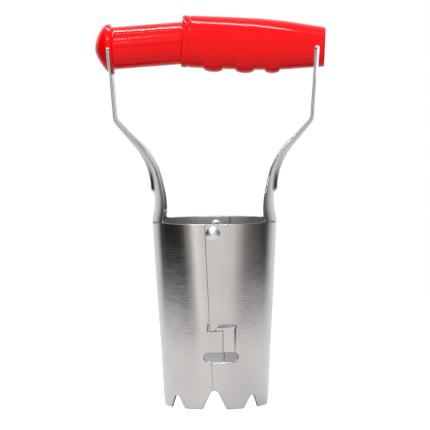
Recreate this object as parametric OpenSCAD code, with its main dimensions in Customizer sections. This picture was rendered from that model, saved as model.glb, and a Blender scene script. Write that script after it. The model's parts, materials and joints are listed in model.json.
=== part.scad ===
// Bulb planter with a squeeze handle.
// Two steel half shells turn on two rivets near the rim. Each has an arm of its own that carries
// one half of a telescoping plastic handle. Squeezing the handle opens the barrel at the teeth.
// The origin is the centre of the barrel's mouth, on the plane of the tooth tips. +Z is up and
// +Y is to the back. The model stands closed, as its spring holds it.

/* [Barrel] */
// Height of the barrel, from the tooth tips to the rim
barrel_h = 105; // [85:1:130]
// Outer width of the barrel at the rivets, across the arms
barrel_w = 70; // [62:1:84]
// Outer depth of the barrel, front to back
barrel_d = 60; // [52:1:72]
// Thickness of the steel sheet
wall = 1.2; // [0.8:0.1:1.5]
// Angle that each half shell leans inwards when closed
lean = 3.1; // [2:0.1:3.6]
// Free space between the two lapped sheets
lap_gap = 0.35; // [0.3:0.05:0.6]
// How far the outer sheet runs past the middle at the rim
lap_outer_top = 4.8; // [4.6:0.1:6]
// How far the inner sheet runs past the middle at the rim
lap_inner_top = 8.2; // [6:0.1:8.4]
// Share of the half's lean that the outer sheet's free edge is cut to
lap_outer_share = 0.74; // [0.6:0.02:0.9]
// Share of the half's lean that the inner sheet's free edge is cut to
lap_inner_share = 0.98; // [0.9:0.02:1]

/* [Teeth] */
// Width of the notch on each seam
seam_notch_w = 13.5; // [9:0.5:16]
// Depth of the notch on each seam
seam_notch_h = 10.6; // [7:0.2:12]
// Width of the other notches
notch_w = 10.5; // [7:0.5:13]
// Depth of the other notches
notch_h = 7.2; // [5:0.2:10]

/* [Rivets] */
// Distance from the rim down to the rivets
rivet_drop = 5.5; // [5:0.5:9]
// Diameter of the rivet's shank
rivet_shank_d = 5; // [4:0.1:5.4]
// Diameter of the rivet's domed head
rivet_head_d = 8.5; // [7:0.1:9]
// Height of the rivet's domed head
rivet_head_h = 1.9; // [1.2:0.1:2.5]
// Running clearance of the moving sheet on the shank, on the radius
rivet_play = 0.06; // [0.04:0.01:0.1]

/* [Interlock] */
// Height of the tongue's lower edge above the tooth tips
tongue_z = 32; // [26:0.5:40]
// Height of the tongue
tongue_h = 14.4; // [10:0.2:16]
// Free space between the tongue and the strip in front of it
tongue_gap = 0.9; // [0.4:0.1:1.2]
// How far the tongue reaches past the middle, behind the other shell
tongue_reach = 11.5; // [9:0.5:13]
// Distance from the middle to the end of the strip that lies over the tongue
strip_reach = 5.1; // [4:0.1:6]
// Distance from the middle to the root of the tongue
tongue_root = 13.9; // [12:0.1:16]

/* [Arms] */
// Height of the arm's end, inside the handle, above the rim
arm_rise = 98; // [88:1:112]
// Half width of the arm at the handle
arm_half_w = 10.3; // [8:0.1:10.8]
// Half width of the arm where it leaves the rim
arm_root_half_w = 17.5; // [14:0.5:19]
// Radius of the arm's outward curve
arm_curve_r = 40; // [32:1:48]
// Angle from the upright of the arm's sloping stretch
arm_slope = 39.5; // [34:0.5:43]
// Length of the arm's sloping stretch
arm_slope_len = 15.2; // [9:0.2:18]
// Height of the pressed rib along the arm
rib_h = 1.8; // [1:0.1:2.2]
// Half width of the pressed rib
rib_half_w = 5.2; // [4:0.1:6]

/* [Handle] */
// Height of the sleeve's axis above the arm's end
sleeve_lift = 0.4; // [-1:0.1:2]
// Angle that the sleeve droops outwards when closed
sleeve_tilt = 2.8; // [2:0.1:3.4]
// Angle that the plunger droops outwards when closed
plunger_tilt = 3.9; // [3:0.1:4.6]
// How far inside the sleeve's mouth its axis meets the plunger's axis
axes_meet = 9; // [7:0.2:12]
// Length of the sleeve from its mouth to the arm
sleeve_len = 76.2; // [70:0.2:84]
// Thickness of the sleeve beyond the arm
sleeve_end = 4.9; // [3.5:0.1:6]
// Half height of the sleeve at its fullest
sleeve_half_h = 14.8; // [14.6:0.1:17]
// Half depth of the sleeve at its fullest
sleeve_half_d = 13; // [12.8:0.1:15]
// Wall of the sleeve at its mouth
mouth_wall = 0.75; // [0.7:0.05:1.1]
// Wall of the sleeve behind its mouth
sleeve_wall = 1.8; // [1.4:0.1:2.2]
// Depth of the finger bumps under the sleeve
bump_h = 2; // [1:0.1:2.5]
// Half height of the plunger
plunger_half_h = 12; // [10.5:0.1:12.2]
// How much further the plunger's cap reaches below than above
cap_lip = 1.2; // [0:0.1:1.6]
// Half depth of the plunger
plunger_half_d = 11.3; // [10.8:0.1:11.6]
// How far the plunger reaches into the sleeve
plunger_inside = 27; // [20:0.5:27]
// Width of the arm slots on the side away from the arm
slot_w = 2.6; // [2.4:0.1:3]

/* [Spring] */
// Mean radius of the coil
coil_r = 4.3; // [3.8:0.1:4.5]
// Radius of the spring wire
wire_r = 0.6; // [0.5:0.05:0.7]
// Number of turns
coil_turns = 13; // [9:1:15]

/* [Hidden] */

steel = "#c9c9cc";
plated = "#d9dadd";
red = "#ea0a12";
$fn = 96;

right = 1;
left = -1;
pivot_z = barrel_h - rivet_drop;
arm_top = barrel_h + arm_rise;
sleeve_z = arm_top + sleeve_lift;
outer_r = barrel_d / 2;
inner_r = outer_r - wall - lap_gap;
tongue_r = inner_r - wall - tongue_gap;
lean_run = barrel_h * tan(lean);
lap_outer_low = lap_outer_top - lap_outer_share * lean_run;
lap_inner_low = lap_inner_top - lap_inner_share * lean_run;
fit_gap = 0.15;
embed = 0.05;
held_play = 0.03;
over = 20;

// Places a half in the model: its own frame has the pivot at the origin and +X pointing outwards
module place_half(side) {
    translate([0, 0, pivot_z])
        mirror([side == left ? 1 : 0, 0, 0])
            rotate([0, lean, 0])
                children();
}

// Places a handle half: its own frame has the arm at the origin and +X pointing outwards
module place_handle(side) {
    translate([side * handle_x, 0, side == left ? plunger_z : sleeve_z])
        mirror([side == left ? 1 : 0, 0, 0])
            rotate([0, side == left ? plunger_tilt : sleeve_tilt, 0])
                children();
}

// Closed solid through a list of rings that have the same number of points. Each ring runs
// anticlockwise when it is looked at from the far end of the list.
module loft(rings) {
    n = len(rings[0]);
    m = len(rings);
    corners = [for (ring = rings) each ring];
    sides = [
        for (i = [0:m - 2], j = [0:n - 1])
            each [
                [i * n + j, (i + 1) * n + (j + 1) % n, i * n + (j + 1) % n],
                [i * n + j, (i + 1) * n + j, (i + 1) * n + (j + 1) % n]
            ]
    ];
    // each end is closed by a strip from one long side of its ring to the other
    end = (m - 1) * n;
    ends = [
        for (j = [0:n / 2 - 2])
            let (k = n - 1 - j)
            each [
                [j, j + 1, k - 1],
                [j, k - 1, k],
                [end + j, end + k - 1, end + j + 1],
                [end + j, end + k, end + k - 1]
            ]
    ];
    polyhedron(corners, concat(sides, ends));
}

// ---- Barrel ----

// Outline of one half's sheet seen from above: a half ring and two flats that lap the other half
module sheet_outline(radius, centre_x, lap) {
    difference() {
        union() {
            translate([centre_x, 0]) circle(radius);
            translate([-lap, -radius]) square([centre_x + lap, 2 * radius]);
        }
        translate([centre_x, 0]) circle(radius - wall);
        translate([-lap - 1, -radius + wall]) square([centre_x + lap + 1, 2 * (radius - wall)]);
        translate([-lap - over * 3, -over * 3]) square([over * 3, over * 6]);
    }
}

// A notch between two teeth, standing on the ground and facing the front
module notch(width, height) {
    tip_r = width / 5;
    rotate([90, 0, 0])
        linear_extrude(barrel_d)
            union() {
                polygon([
                    [-width / 2, -1], [width / 2, -1], [width / 2, 0],
                    [tip_r, height - tip_r], [-tip_r, height - tip_r], [-width / 2, 0]
                ]);
                translate([0, height - tip_r]) circle(tip_r, $fn = 32);
            }
}

// The eight notches round the mouth, two of them on the seams
module notches() {
    for (turn = [0:45:315]) {
        on_seam = turn % 180 == 0;
        rotate([0, 0, turn])
            notch(on_seam ? seam_notch_w : notch_w, on_seam ? seam_notch_h : notch_h);
    }
}

// The straight wall of one half, cut level at the teeth and at the rim
module barrel_wall(side) {
    radius = side == right ? outer_r : inner_r;
    lap_top = side == right ? lap_outer_top : lap_inner_top;
    lap_low = side == right ? lap_outer_low : lap_inner_low;
    intersection() {
        place_half(side)
            translate([0, 0, -barrel_h - over])
                linear_extrude(barrel_h + 2 * over)
                    sheet_outline(radius, barrel_w / 2 - radius, over);
        cut_through()
            polygon([
                [-side * lap_low, 0], [side * barrel_w, 0],
                [side * barrel_w, barrel_h], [-side * lap_top, barrel_h]
            ]);
    }
}

// Runs a flat outline in X and Z through both sides of the barrel
module cut_through() {
    translate([0, barrel_d, 0])
        rotate([90, 0, 0])
            linear_extrude(2 * barrel_d)
                children();
}

// Window in the outer sheet: the tongue is bent inwards from its right-hand edge
slot_drop = 4.8;
slot_rise = 1.8;
lip_drop = 2;
module window() {
    top = tongue_z + tongue_h;
    low = tongue_z - slot_drop;
    round_r = slot_drop / 2;
    cut_through() {
        polygon([
            [-over, low - 1.4], [tongue_root - round_r, low], [tongue_root, low + round_r],
            [tongue_root, top], [tongue_root - 4, top + slot_rise], [strip_reach - 1, top + slot_rise],
            [-lap_outer_low, top - lip_drop], [-over, top - lip_drop]
        ]);
        translate([tongue_root - round_r, low + round_r]) circle(round_r, $fn = 32);
    }
}

// Slots in the inner sheet, above and below the strip that lies over the tongue
module strip_slots() {
    slot_end = -3.5;
    upper = tongue_z + tongue_h - lip_drop;
    cut_through() {
        translate([slot_end, upper]) square([over, lip_drop + slot_rise]);
        translate([slot_end, tongue_z - slot_drop / 2]) circle(slot_drop / 2, $fn = 32);
        translate([slot_end, tongue_z - slot_drop]) square([over, slot_drop]);
        translate([strip_reach, tongue_z - 1]) square([over, tongue_h]);
    }
}

// The tongue of the outer shell, curved to lie behind the inner shell, with the step that leads to it
module tongue() {
    step = 3.4;
    intersection() {
        place_half(left)
            translate([0, 0, -barrel_h])
                linear_extrude(barrel_h)
                    sheet_outline(tongue_r, barrel_w / 2 - inner_r, tongue_root + over / 2);
        translate([-tongue_reach, -barrel_d, tongue_z])
            cube([tongue_reach + tongue_root - step + 0.2, 2 * barrel_d, tongue_h]);
    }
    for (face = [0, 1])
        mirror([0, face, 0])
            translate([0, 0, tongue_z])
                linear_extrude(tongue_h)
                    polygon([
                        [tongue_root + 0.9, -step_y], [tongue_root, -step_y],
                        [tongue_root - step, -tongue_r], [tongue_root - step, -tongue_r + wall],
                        [tongue_root, -step_y + wall * 0.8], [tongue_root + 0.9, -step_y + wall * 0.8]
                    ]);
}
// Depth of the outer sheet at the tongue's root
root_own_x = tongue_root + (pivot_z - tongue_z - tongue_h / 2) * tan(lean) - (barrel_w / 2 - outer_r);
step_y = sqrt(outer_r * outer_r - root_own_x * root_own_x) - 0.3;

// ---- Arms ----

rim_own_z = rivet_drop + barrel_w / 2 * sin(lean);
arm_start_z = rim_own_z - 4;
arm_neck_turn = 14;
arm_head = 1.4;
bend_r = 5;

// Lengths along the arm at which its direction starts or stops changing
s_rim = rim_own_z - arm_start_z;
s_neck_in = s_rim + 1.6;
s_neck_out = s_neck_in + 3.5;
s_upright = s_neck_out + 9;
s_curve = s_upright + 6;
s_slope = s_curve + arm_curve_r * arm_slope * PI / 180;
s_bend = s_slope + arm_slope_len;
s_head = s_bend + bend_r * (arm_slope - arm_head) * PI / 180;
s_rib = s_upright + 2;

// Direction of the arm along its length, in degrees outwards from the upright
heading_table = [
    [0, 0], [s_rim, 0], [s_neck_in, -arm_neck_turn], [s_neck_out, -arm_neck_turn], [s_upright, 0],
    [s_curve, 0], [s_slope, arm_slope], [s_bend, arm_slope], [s_head, arm_head], [s_head + 300, arm_head]
];
function heading(s) = lookup(s, heading_table);

// Point of the arm's outer face at the end of a list of stations
function arm_points(stations, i = 0, at = [barrel_w / 2, arm_start_z]) =
    i == len(stations) - 1
        ? [at]
        : let (
              step = stations[i + 1] - stations[i],
              turn = (heading(stations[i]) + heading(stations[i + 1])) / 2
          )
          concat([at], arm_points(stations, i + 1, at + step * [sin(turn), cos(turn)]));

body_stations = [
    0, s_rim - 0.4, s_rim + 0.6, s_neck_in + 0.4, s_neck_in + 1.8, s_neck_out, s_neck_out + 3,
    s_upright - 3, s_upright, s_rib, s_rib + 1.6,
    for (k = [0:9]) s_curve + (s_slope - s_curve) * k / 9,
    s_slope + arm_slope_len / 2,
    for (k = [0:3]) s_bend + (s_head - s_bend) * k / 3
];
head_point = arm_points(body_stations)[len(body_stations) - 1];

// The last stretch is as long as it takes to reach the arm's top
arm_top_own = (arm_top - pivot_z + head_point[0] * sin(lean)) / cos(lean);
head_len = (arm_top_own - head_point[1]) / cos(arm_head);
stations = concat(body_stations, [s_head + head_len * 0.3, s_head + head_len * 0.55,
                                  s_head + head_len * 0.68, s_head + head_len]);
arm_line = arm_points(stations);
arm_end = arm_line[len(arm_line) - 1];

width_table = [
    [0, arm_root_half_w + 6], [s_rim, arm_root_half_w + 6], [s_rim + 1, arm_root_half_w + 3.4],
    [s_neck_in + 0.4, arm_root_half_w + 1.6], [s_neck_out, arm_root_half_w], [s_rib, arm_root_half_w - 2.2],
    [s_curve + 6, arm_half_w + 2.4], [s_slope, arm_half_w + 0.4], [s_bend, arm_half_w],
    [s_head + 300, arm_half_w]
];
bow_table = [[0, 1], [s_curve + 8, 1], [s_slope - 6, 0.45], [s_slope + 4, 0], [s_head + 300, 0]];
rib_table = [
    [0, 0], [s_rib, 0], [s_rib + 1.6, rib_h], [s_slope, rib_h], [s_bend, rib_h * 0.6], [s_head, rib_h * 0.45],
    [s_head + head_len * 0.55, rib_h * 0.4], [s_head + head_len * 0.68, 0], [s_head + 300, 0]
];

// How far a round sheet of a given radius falls away at a distance from its middle line
function bow(radius, y) = radius - sqrt(radius * radius - y * y);

// Height of the rib at a distance from its middle line
function rib(y) =
    let (flat = rib_half_w * 0.45, d = abs(y))
    d <= flat ? 1 : d >= rib_half_w ? 0 : (1 + cos(180 * (d - flat) / (rib_half_w - flat))) / 2;

// One ring of the arm: across its outer face and back along its inner face
function arm_ring(s, at, radius) =
    let (
        half = lookup(s, width_table),
        round = lookup(s, bow_table),
        raised = lookup(s, rib_table),
        inset = s < s_rim + 0.5 ? embed : 0,
        a = heading(s),
        r = rib_half_w,
        ys = [-half, -(2 * half + r) / 3, -(half + 2 * r) / 3, -r, -r * 0.72, -r * 0.45, 0,
              r * 0.45, r * 0.72, r, (half + 2 * r) / 3, (2 * half + r) / 3, half],
        outer = [for (y = ys) [y, raised * rib(y) - round * bow(radius, y) - inset]],
        inner = [for (i = [len(ys) - 1:-1:0])
                    [ys[i], raised * rib(ys[i]) - wall - round * bow(radius - wall, ys[i]) + inset]]
    )
    [for (p = concat(outer, inner)) [at[0] + cos(a) * p[1], p[0], at[1] - sin(a) * p[1]]];

module arm(radius) {
    loft([for (i = [0:len(stations) - 1]) arm_ring(stations[i], arm_line[i], radius)]);
}

// Room for the end of the arm, open downwards, from the arm's inner face outwards
module arm_slot() {
    translate([arm_end[0], 0, arm_end[1]])
        rotate([0, arm_head, 0])
            translate([-wall - fit_gap, -barrel_d / 2, -over * 2])
                cube([slot_w, barrel_d, over * 2 + 0.8]);
}

// The same room in the frame of a handle half that stands at the given height and angle
module slot_in_handle(height, tilt) {
    rotate([0, -tilt, 0])
        translate([-handle_x, 0, -height])
            place_half(right) arm_slot();
}

// Distance from the middle to the middle of the arm's sheet, inside the handle
handle_x = arm_end[0] * cos(lean) + arm_end[1] * sin(lean) - wall / 2;

// Length of the plunger between its arm and the sleeve's mouth, and the height where the axes meet
bare_len = 2 * handle_x - sleeve_len;
meet_z = sleeve_z + (sleeve_len - axes_meet) * tan(sleeve_tilt);
plunger_z = meet_z - (bare_len + axes_meet) * tan(plunger_tilt);

// ---- Half shells ----

module rivet_holes(side) {
    play = side == right ? held_play : rivet_play;
    translate([0, barrel_d, pivot_z])
        rotate([90, 0, 0])
            cylinder(r = rivet_shank_d / 2 + play, h = 2 * barrel_d);
}

module right_half_shell() {
    color(steel)
        union() {
            difference() {
                barrel_wall(right);
                window();
                notches();
                rivet_holes(right);
            }
            tongue();
            place_half(right) arm(outer_r);
        }
}

module left_half_shell() {
    color(steel)
        union() {
            difference() {
                barrel_wall(left);
                strip_slots();
                notches();
                rivet_holes(left);
            }
            place_half(left) arm(inner_r);
        }
}

// ---- Rivets ----

// A domed rivet whose hollow end is rolled over inside the barrel, pointing inwards along +Z
module rivet() {
    head_r = rivet_head_d / 2;
    shank_r = rivet_shank_d / 2;
    grip = 2 * wall + lap_gap + 0.1;
    dome_r = (head_r * head_r + rivet_head_h * rivet_head_h) / (2 * rivet_head_h);
    roll_r = 1;
    color(plated)
        difference() {
            union() {
                intersection() {
                    translate([0, 0, dome_r - rivet_head_h]) sphere(dome_r);
                    translate([0, 0, -rivet_head_h]) cylinder(r = head_r + 1, h = rivet_head_h);
                }
                cylinder(r = shank_r, h = grip + roll_r);
                translate([0, 0, grip + roll_r])
                    rotate_extrude()
                        translate([shank_r - 0.2, 0])
                            circle(roll_r, $fn = 32);
            }
            translate([0, 0, grip - 0.8]) cylinder(r = shank_r - 0.9, h = over);
        }
}

module front_rivet() {
    translate([0, -outer_r, pivot_z]) rotate([-90, 0, 0]) rivet();
}

module rear_rivet() {
    translate([0, outer_r, pivot_z]) rotate([90, 0, 0]) rivet();
}

// ---- Handle ----

// Rounded section of a handle half: 1 is the half depth or height, and a lower roundness is squarer
plunger_round = 0.8;
sleeve_round = 0.7;
function section(n, roundness) = [
    for (i = [0:n - 1])
        let (a = 360 * i / n, c = cos(a), s = sin(a))
        [sign(c) * pow(abs(c), roundness), sign(s) * pow(abs(s), roundness)]
];
function handle_ring(x, depth, height, roundness) =
    [for (p = section(28, roundness)) [x, depth * p[0], height * p[1]]];

// Fullness of the sleeve along its length, as a share of its greatest half height
sleeve_table = [
    [-sleeve_len, 0.985], [-sleeve_len + 1.5, 1], [-sleeve_len + 3.5, 1], [-sleeve_len + 4.5, 0.985],
    [-sleeve_len + 8, 1], [-sleeve_len * 0.6, 1], [-sleeve_len * 0.42, 0.985],
    [-sleeve_len * 0.24, 0.93], [-sleeve_len * 0.1, 0.85], [sleeve_end, 0.755]
];
function sleeve_h(x) = sleeve_half_h * lookup(x, sleeve_table);
function sleeve_d(x) = sleeve_half_d * (0.45 + 0.55 * lookup(x, sleeve_table));

// Finger bumps: three swellings under the sleeve
bump_at = [-0.76, -0.525, -0.32] * sleeve_len;
bump_half = [5.6, 5.4, 4.4];
function bumps(x) = max([
    for (i = [0:2])
        let (d = abs(x - bump_at[i]) / bump_half[i])
        d >= 1 ? 0 : bump_h * sqrt(1 - d * d)
]);
function sleeve_ring(x) =
    [for (p = section(28, sleeve_round))
        [x, sleeve_d(x) * p[0], sleeve_h(x) * p[1] - (p[1] < 0 ? bumps(x) * p[1] * p[1] : 0)]];

module handle_sleeve() {
    total = sleeve_len + sleeve_end;
    deep = sleeve_len - sleeve_seat;
    mouth = [sleeve_d(-sleeve_len) - 1.2, sleeve_h(-sleeve_len) - mouth_wall];
    color(red)
        place_handle(right)
            difference() {
                loft([for (k = [0:40]) sleeve_ring(-sleeve_len + total * k / 40)]);
                // the bore: straight for the stroke of the plunger, then following the outside
                difference() {
                    loft([
                        handle_ring(-sleeve_len - 1, mouth[0], mouth[1], sleeve_round),
                        handle_ring(-sleeve_len + stroke, mouth[0], mouth[1], sleeve_round),
                        for (k = [1:5])
                            let (x = -sleeve_len + stroke + (deep - stroke) * k / 5)
                            handle_ring(x, sleeve_d(x) - sleeve_wall, sleeve_h(x) - sleeve_wall, sleeve_round)
                    ]);
                    spring_post(-sleeve_seat);
                }
                slot_in_handle(sleeve_z, sleeve_tilt);
            }
}

// Height of a point of the cap's ring: the cap reaches further below than above
function cap_z(height, v) = v < 0 ? (height + cap_lip) * v : height * v;
function cap_ring(x, depth, height) =
    [for (p = section(28, plunger_round)) [x, depth * p[0], cap_z(height, p[1])]];

// Ring of the cap's dome at an angle from its rim; the dome is fullest above its middle
dome_deep = 8;
dome_low = 5;
dome_high = 2.4;
function dome_ring(a, depth, height) = [
    for (p = section(28, plunger_round))
        let (
            v = p[1] * cos(a),
            full = dome_deep - dome_low * pow(max(0, -v), 1.5) - dome_high * pow(max(0, v), 1.5)
        )
        [full * sin(a), depth * p[0] * cos(a), cap_z(height, v)]
];

// A post that the spring's end sits on, pointing away from the arm
module spring_post(seat_x) {
    translate([seat_x - post_len, 0, 0])
        rotate([0, 90, 0])
            cylinder(r = coil_r - wire_r - 0.4, h = post_len + 2);
}
post_len = 6;

// Room for the plunger's stroke, and where its full section ends
stroke = 17;
shoulder = -bare_len - 4;
plunger_len = bare_len + plunger_inside;

module handle_plunger() {
    cap_h = plunger_half_h + 1.75;
    cap_d = plunger_half_d + 1.4;
    color(red)
        place_handle(left)
            difference() {
                union() {
                    // the body, stepped down and tapered where it stays inside the sleeve
                    loft([
                        handle_ring(-plunger_len, plunger_half_d - 1, plunger_half_h - 1.8, plunger_round),
                        handle_ring(shoulder - 2, plunger_half_d - 1, plunger_half_h - 1.2, plunger_round),
                        handle_ring(shoulder, plunger_half_d, plunger_half_h, plunger_round),
                        handle_ring(0, plunger_half_d, plunger_half_h, plunger_round)
                    ]);
                    // the domed cap
                    loft([
                        cap_ring(-2, cap_d - 0.8, cap_h - 0.8),
                        cap_ring(-1.2, cap_d, cap_h),
                        for (k = [0:6]) dome_ring(14 * k, cap_d, cap_h)
                    ]);
                }
                // the spring's bore
                difference() {
                    translate([-plunger_len - 1, 0, 0])
                        rotate([0, 90, 0])
                            cylinder(r = bore_r, h = plunger_len + 1 - seat_inset);
                    spring_post(-seat_inset);
                }
                slot_in_handle(plunger_z, plunger_tilt);
            }
}
bore_r = 8;
seat_inset = 10;
sleeve_seat = 12;

// ---- Spring ----

seat_gap = 0.3;
turn_steps = 12;

// Middle of the coil at a share of its length: it leaves along the plunger's axis and bends gently
// until it arrives along the sleeve's
spring_x0 = -handle_x + seat_inset + wire_r + seat_gap;
spring_x1 = handle_x - sleeve_seat - wire_r - seat_gap;
spring_run = spring_x1 - spring_x0;
spring_z0 = plunger_z + (spring_x0 + handle_x) * tan(plunger_tilt);
spring_z1 = sleeve_z + (handle_x - spring_x1) * tan(sleeve_tilt);
function coil_axis(u) =
    let (
        w = 1 - u,
        leave = spring_run * tan(plunger_tilt),
        arrive = spring_run * tan(sleeve_tilt),
        first = w * w * ((1 + 2 * u) * spring_z0 + u * leave),
        last = u * u * ((1 + 2 * w) * spring_z1 + w * arrive)
    )
    [spring_x0 + spring_run * u, first + last];

// Share of the length at a number of turns: the first and last turns lie close
closed = 1.15 * 2 * wire_r / spring_run;
rise_table = [[0, 0], [1, closed], [coil_turns - 1, 1 - closed], [coil_turns, 1]];

function wire_ring(turn) =
    let (c = coil_axis(lookup(turn, rise_table)), a = 360 * turn)
    [for (j = [0:5])
        let (b = -60 * j, reach = coil_r + wire_r * cos(b))
        [c[0] + wire_r * sin(b), reach * cos(a), c[1] + reach * sin(a)]];

module return_spring() {
    color(plated)
        loft([for (k = [0:coil_turns * turn_steps]) wire_ring(k / turn_steps)]);
}

right_half_shell();
left_half_shell();
front_rivet();
rear_rivet();
handle_sleeve();
handle_plunger();
return_spring();
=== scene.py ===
"""A bulb planter with a squeeze handle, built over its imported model.

Every size is in millimetres until a mesh is written, which is in metres. A half's own frame has
the pivot at its origin, +X outwards and +Z up along the half. The left half is its mirror image.
"""

import json
import logging
import math
from dataclasses import dataclass, field
from enum import Enum
from typing import Any

import bpy
import numpy as np
from mathutils import Matrix, Vector
from mathutils.geometry import delaunay_2d_cdt


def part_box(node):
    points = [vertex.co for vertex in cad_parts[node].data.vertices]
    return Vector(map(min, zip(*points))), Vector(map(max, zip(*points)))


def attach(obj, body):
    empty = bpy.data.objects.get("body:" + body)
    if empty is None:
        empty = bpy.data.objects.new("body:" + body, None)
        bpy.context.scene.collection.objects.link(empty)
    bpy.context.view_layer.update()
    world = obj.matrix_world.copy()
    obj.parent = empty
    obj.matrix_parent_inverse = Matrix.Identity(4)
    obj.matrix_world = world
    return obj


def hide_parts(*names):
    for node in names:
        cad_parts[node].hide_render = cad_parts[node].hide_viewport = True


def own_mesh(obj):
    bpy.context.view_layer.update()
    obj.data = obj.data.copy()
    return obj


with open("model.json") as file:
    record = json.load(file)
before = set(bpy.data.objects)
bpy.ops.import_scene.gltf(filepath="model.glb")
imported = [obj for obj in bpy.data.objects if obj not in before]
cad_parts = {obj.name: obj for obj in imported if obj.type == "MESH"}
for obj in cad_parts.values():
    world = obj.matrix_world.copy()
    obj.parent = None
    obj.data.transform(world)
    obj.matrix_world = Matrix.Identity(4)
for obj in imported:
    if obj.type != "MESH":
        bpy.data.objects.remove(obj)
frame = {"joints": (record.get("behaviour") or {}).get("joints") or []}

MM = 0.001
log = logging.getLogger("bulb_planter")
Array = np.ndarray


class Side(Enum):
    """The two halves of the planter, with the direction in which each points outwards."""

    RIGHT = 1
    LEFT = -1

    @property
    def body(self) -> str:
        """Name of the body that this half's pieces ride on."""
        return "right_half" if self is Side.RIGHT else "left_half"


# ---- Small tools ----


def linear(colour: str) -> tuple[float, float, float, float]:
    """Turns an sRGB hex colour into linear light.

    Args:
        colour: a colour such as "#ff8800".

    Returns:
        Red, green, blue and an alpha of 1.
    """
    parts = [int(colour[i : i + 2], 16) / 255 for i in (1, 3, 5)]
    light = [c / 12.92 if c <= 0.04045 else ((c + 0.055) / 1.055) ** 2.4 for c in parts]
    return (*light, 1.0)


def add(tree: bpy.types.NodeTree, kind: str, inputs: dict | None = None, **settings: Any) -> bpy.types.Node:
    """Adds a node with its settings, values and links.

    Args:
        tree: the node tree that gets the node.
        kind: the node's type name.
        inputs: a value, or the output socket to link, for each input by name or number.
        **settings: properties of the node itself.

    Returns:
        The new node.
    """
    node = tree.nodes.new(kind)
    for name, value in settings.items():
        setattr(node, name, value)
    for key, value in (inputs or {}).items():
        if isinstance(value, bpy.types.NodeSocket):
            tree.links.new(value, node.inputs[key])
        else:
            node.inputs[key].default_value = value
    return node


def empty_material(name: str) -> bpy.types.Material:
    """Makes a material whose node tree has nothing in it yet.

    Args:
        name: the material's name.

    Returns:
        The material.
    """
    material = bpy.data.materials.new(name)
    material.use_nodes = True
    material.node_tree.nodes.clear()
    return material


def ease(t: Array) -> Array:
    """Goes smoothly from 0 to 1 as t does, and stays there outside."""
    t = np.clip(t, 0.0, 1.0)
    return t * t * (3 - 2 * t)


def flowing(x: Array, table: list[tuple[float, float]]) -> Array:
    """Reads a table along a smooth curve.

    Args:
        x: where to read it.
        table: pairs of place and value, in order of place.

    Returns:
        The values, on a cubic curve through the table's points.
    """
    at, value = np.array(table, float).T
    slope = np.gradient(value, at)
    i = np.clip(np.searchsorted(at, x) - 1, 0, len(at) - 2)
    span = at[i + 1] - at[i]
    t = np.clip((x - at[i]) / span, 0, 1)
    return (
        value[i] * (1 + 2 * t) * (1 - t) ** 2
        + slope[i] * span * t * (1 - t) ** 2
        + value[i + 1] * t * t * (3 - 2 * t)
        + slope[i + 1] * span * t * t * (t - 1)
    )


def inside(points: Array, loop: Array) -> Array:
    """Says which points lie inside a closed outline.

    Args:
        points: flat points, one a row.
        loop: the outline's corners, one a row.

    Returns:
        True for each point that is inside.
    """
    x, y = points[:, 0][:, None], points[:, 1][:, None]
    ax, ay = loop.T
    bx, by = np.roll(loop, -1, axis=0).T
    crosses = (ay > y) != (by > y)
    with np.errstate(divide="ignore", invalid="ignore"):
        hit = x < (bx - ax) * (y - ay) / (by - ay) + ax
    return (crosses & hit).sum(axis=1) % 2 == 1


def divided(points: Array, step: float) -> Array:
    """Adds points along the straight runs of a closed outline.

    Args:
        points: the outline's corners.
        step: the longest distance that may be left between neighbours.

    Returns:
        The outline with the points added.
    """
    out = []
    for a, b in zip(points, np.roll(points, -1, axis=0)):
        n = max(1, math.ceil(float(np.hypot(*(b - a))) / step))
        out += [a + (b - a) * k / n for k in range(n)]
    return np.array(out)


def arc(
    centre: tuple[float, float], radius: float, start: float, end: float, count: int
) -> list[tuple[float, float]]:
    """Points on an arc.

    Args:
        centre: the arc's centre.
        radius: its radius.
        start: the angle of its first point, in degrees.
        end: the angle of its last point, in degrees.
        count: how many points.

    Returns:
        The points.
    """
    return [
        (centre[0] + radius * math.cos(a), centre[1] + radius * math.sin(a))
        for a in np.radians(np.linspace(start, end, count))
    ]


def lofted(rings: Array) -> tuple[Array, list[tuple[int, ...]]]:
    """Closed surface through rings of points.

    Args:
        rings: ring, point and coordinate, in that order of axes. The rings run anticlockwise
            when they are looked at from the far end.

    Returns:
        The corners and the faces.
    """
    m, n, _ = rings.shape
    faces = [
        (i * n + j, i * n + (j + 1) % n, (i + 1) * n + (j + 1) % n, (i + 1) * n + j)
        for i in range(m - 1)
        for j in range(n)
    ]
    corners = np.concatenate([rings.reshape(-1, 3), rings[:1].mean(axis=1), rings[-1:].mean(axis=1)])
    first, last = m * n, m * n + 1
    faces += [(first, (j + 1) % n, j) for j in range(n)]
    faces += [(last, (m - 1) * n + j, (m - 1) * n + (j + 1) % n) for j in range(n)]
    return corners, faces


def mesh_object(
    name: str, corners: Array, faces: list[tuple[int, ...]], sharp_deg: float = 40
) -> bpy.types.Object:
    """Makes an object from corners in millimetres.

    Args:
        name: the object's name.
        corners: one corner a row, in millimetres.
        faces: the corner numbers of each face.
        sharp_deg: an edge that turns by more than this is drawn sharp.

    Returns:
        The object, with smooth shading.
    """
    mesh = bpy.data.meshes.new(name)
    mesh.from_pydata([tuple(p) for p in corners * MM], [], faces)
    mesh.validate()
    mesh.shade_smooth()
    mesh.set_sharp_from_angle(angle=math.radians(sharp_deg))
    made = bpy.data.objects.new(name, mesh)
    bpy.context.scene.collection.objects.link(made)
    return made


def baked(piece: bpy.types.Object) -> None:
    """Turns an object's modifiers into its plain mesh, and removes them.

    Args:
        piece: the object.
    """
    result = bpy.data.meshes.new_from_object(piece.evaluated_get(bpy.context.evaluated_depsgraph_get()))
    piece.modifiers.clear()
    piece.data = result


# ---- Sizes that the pieces share ----


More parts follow.
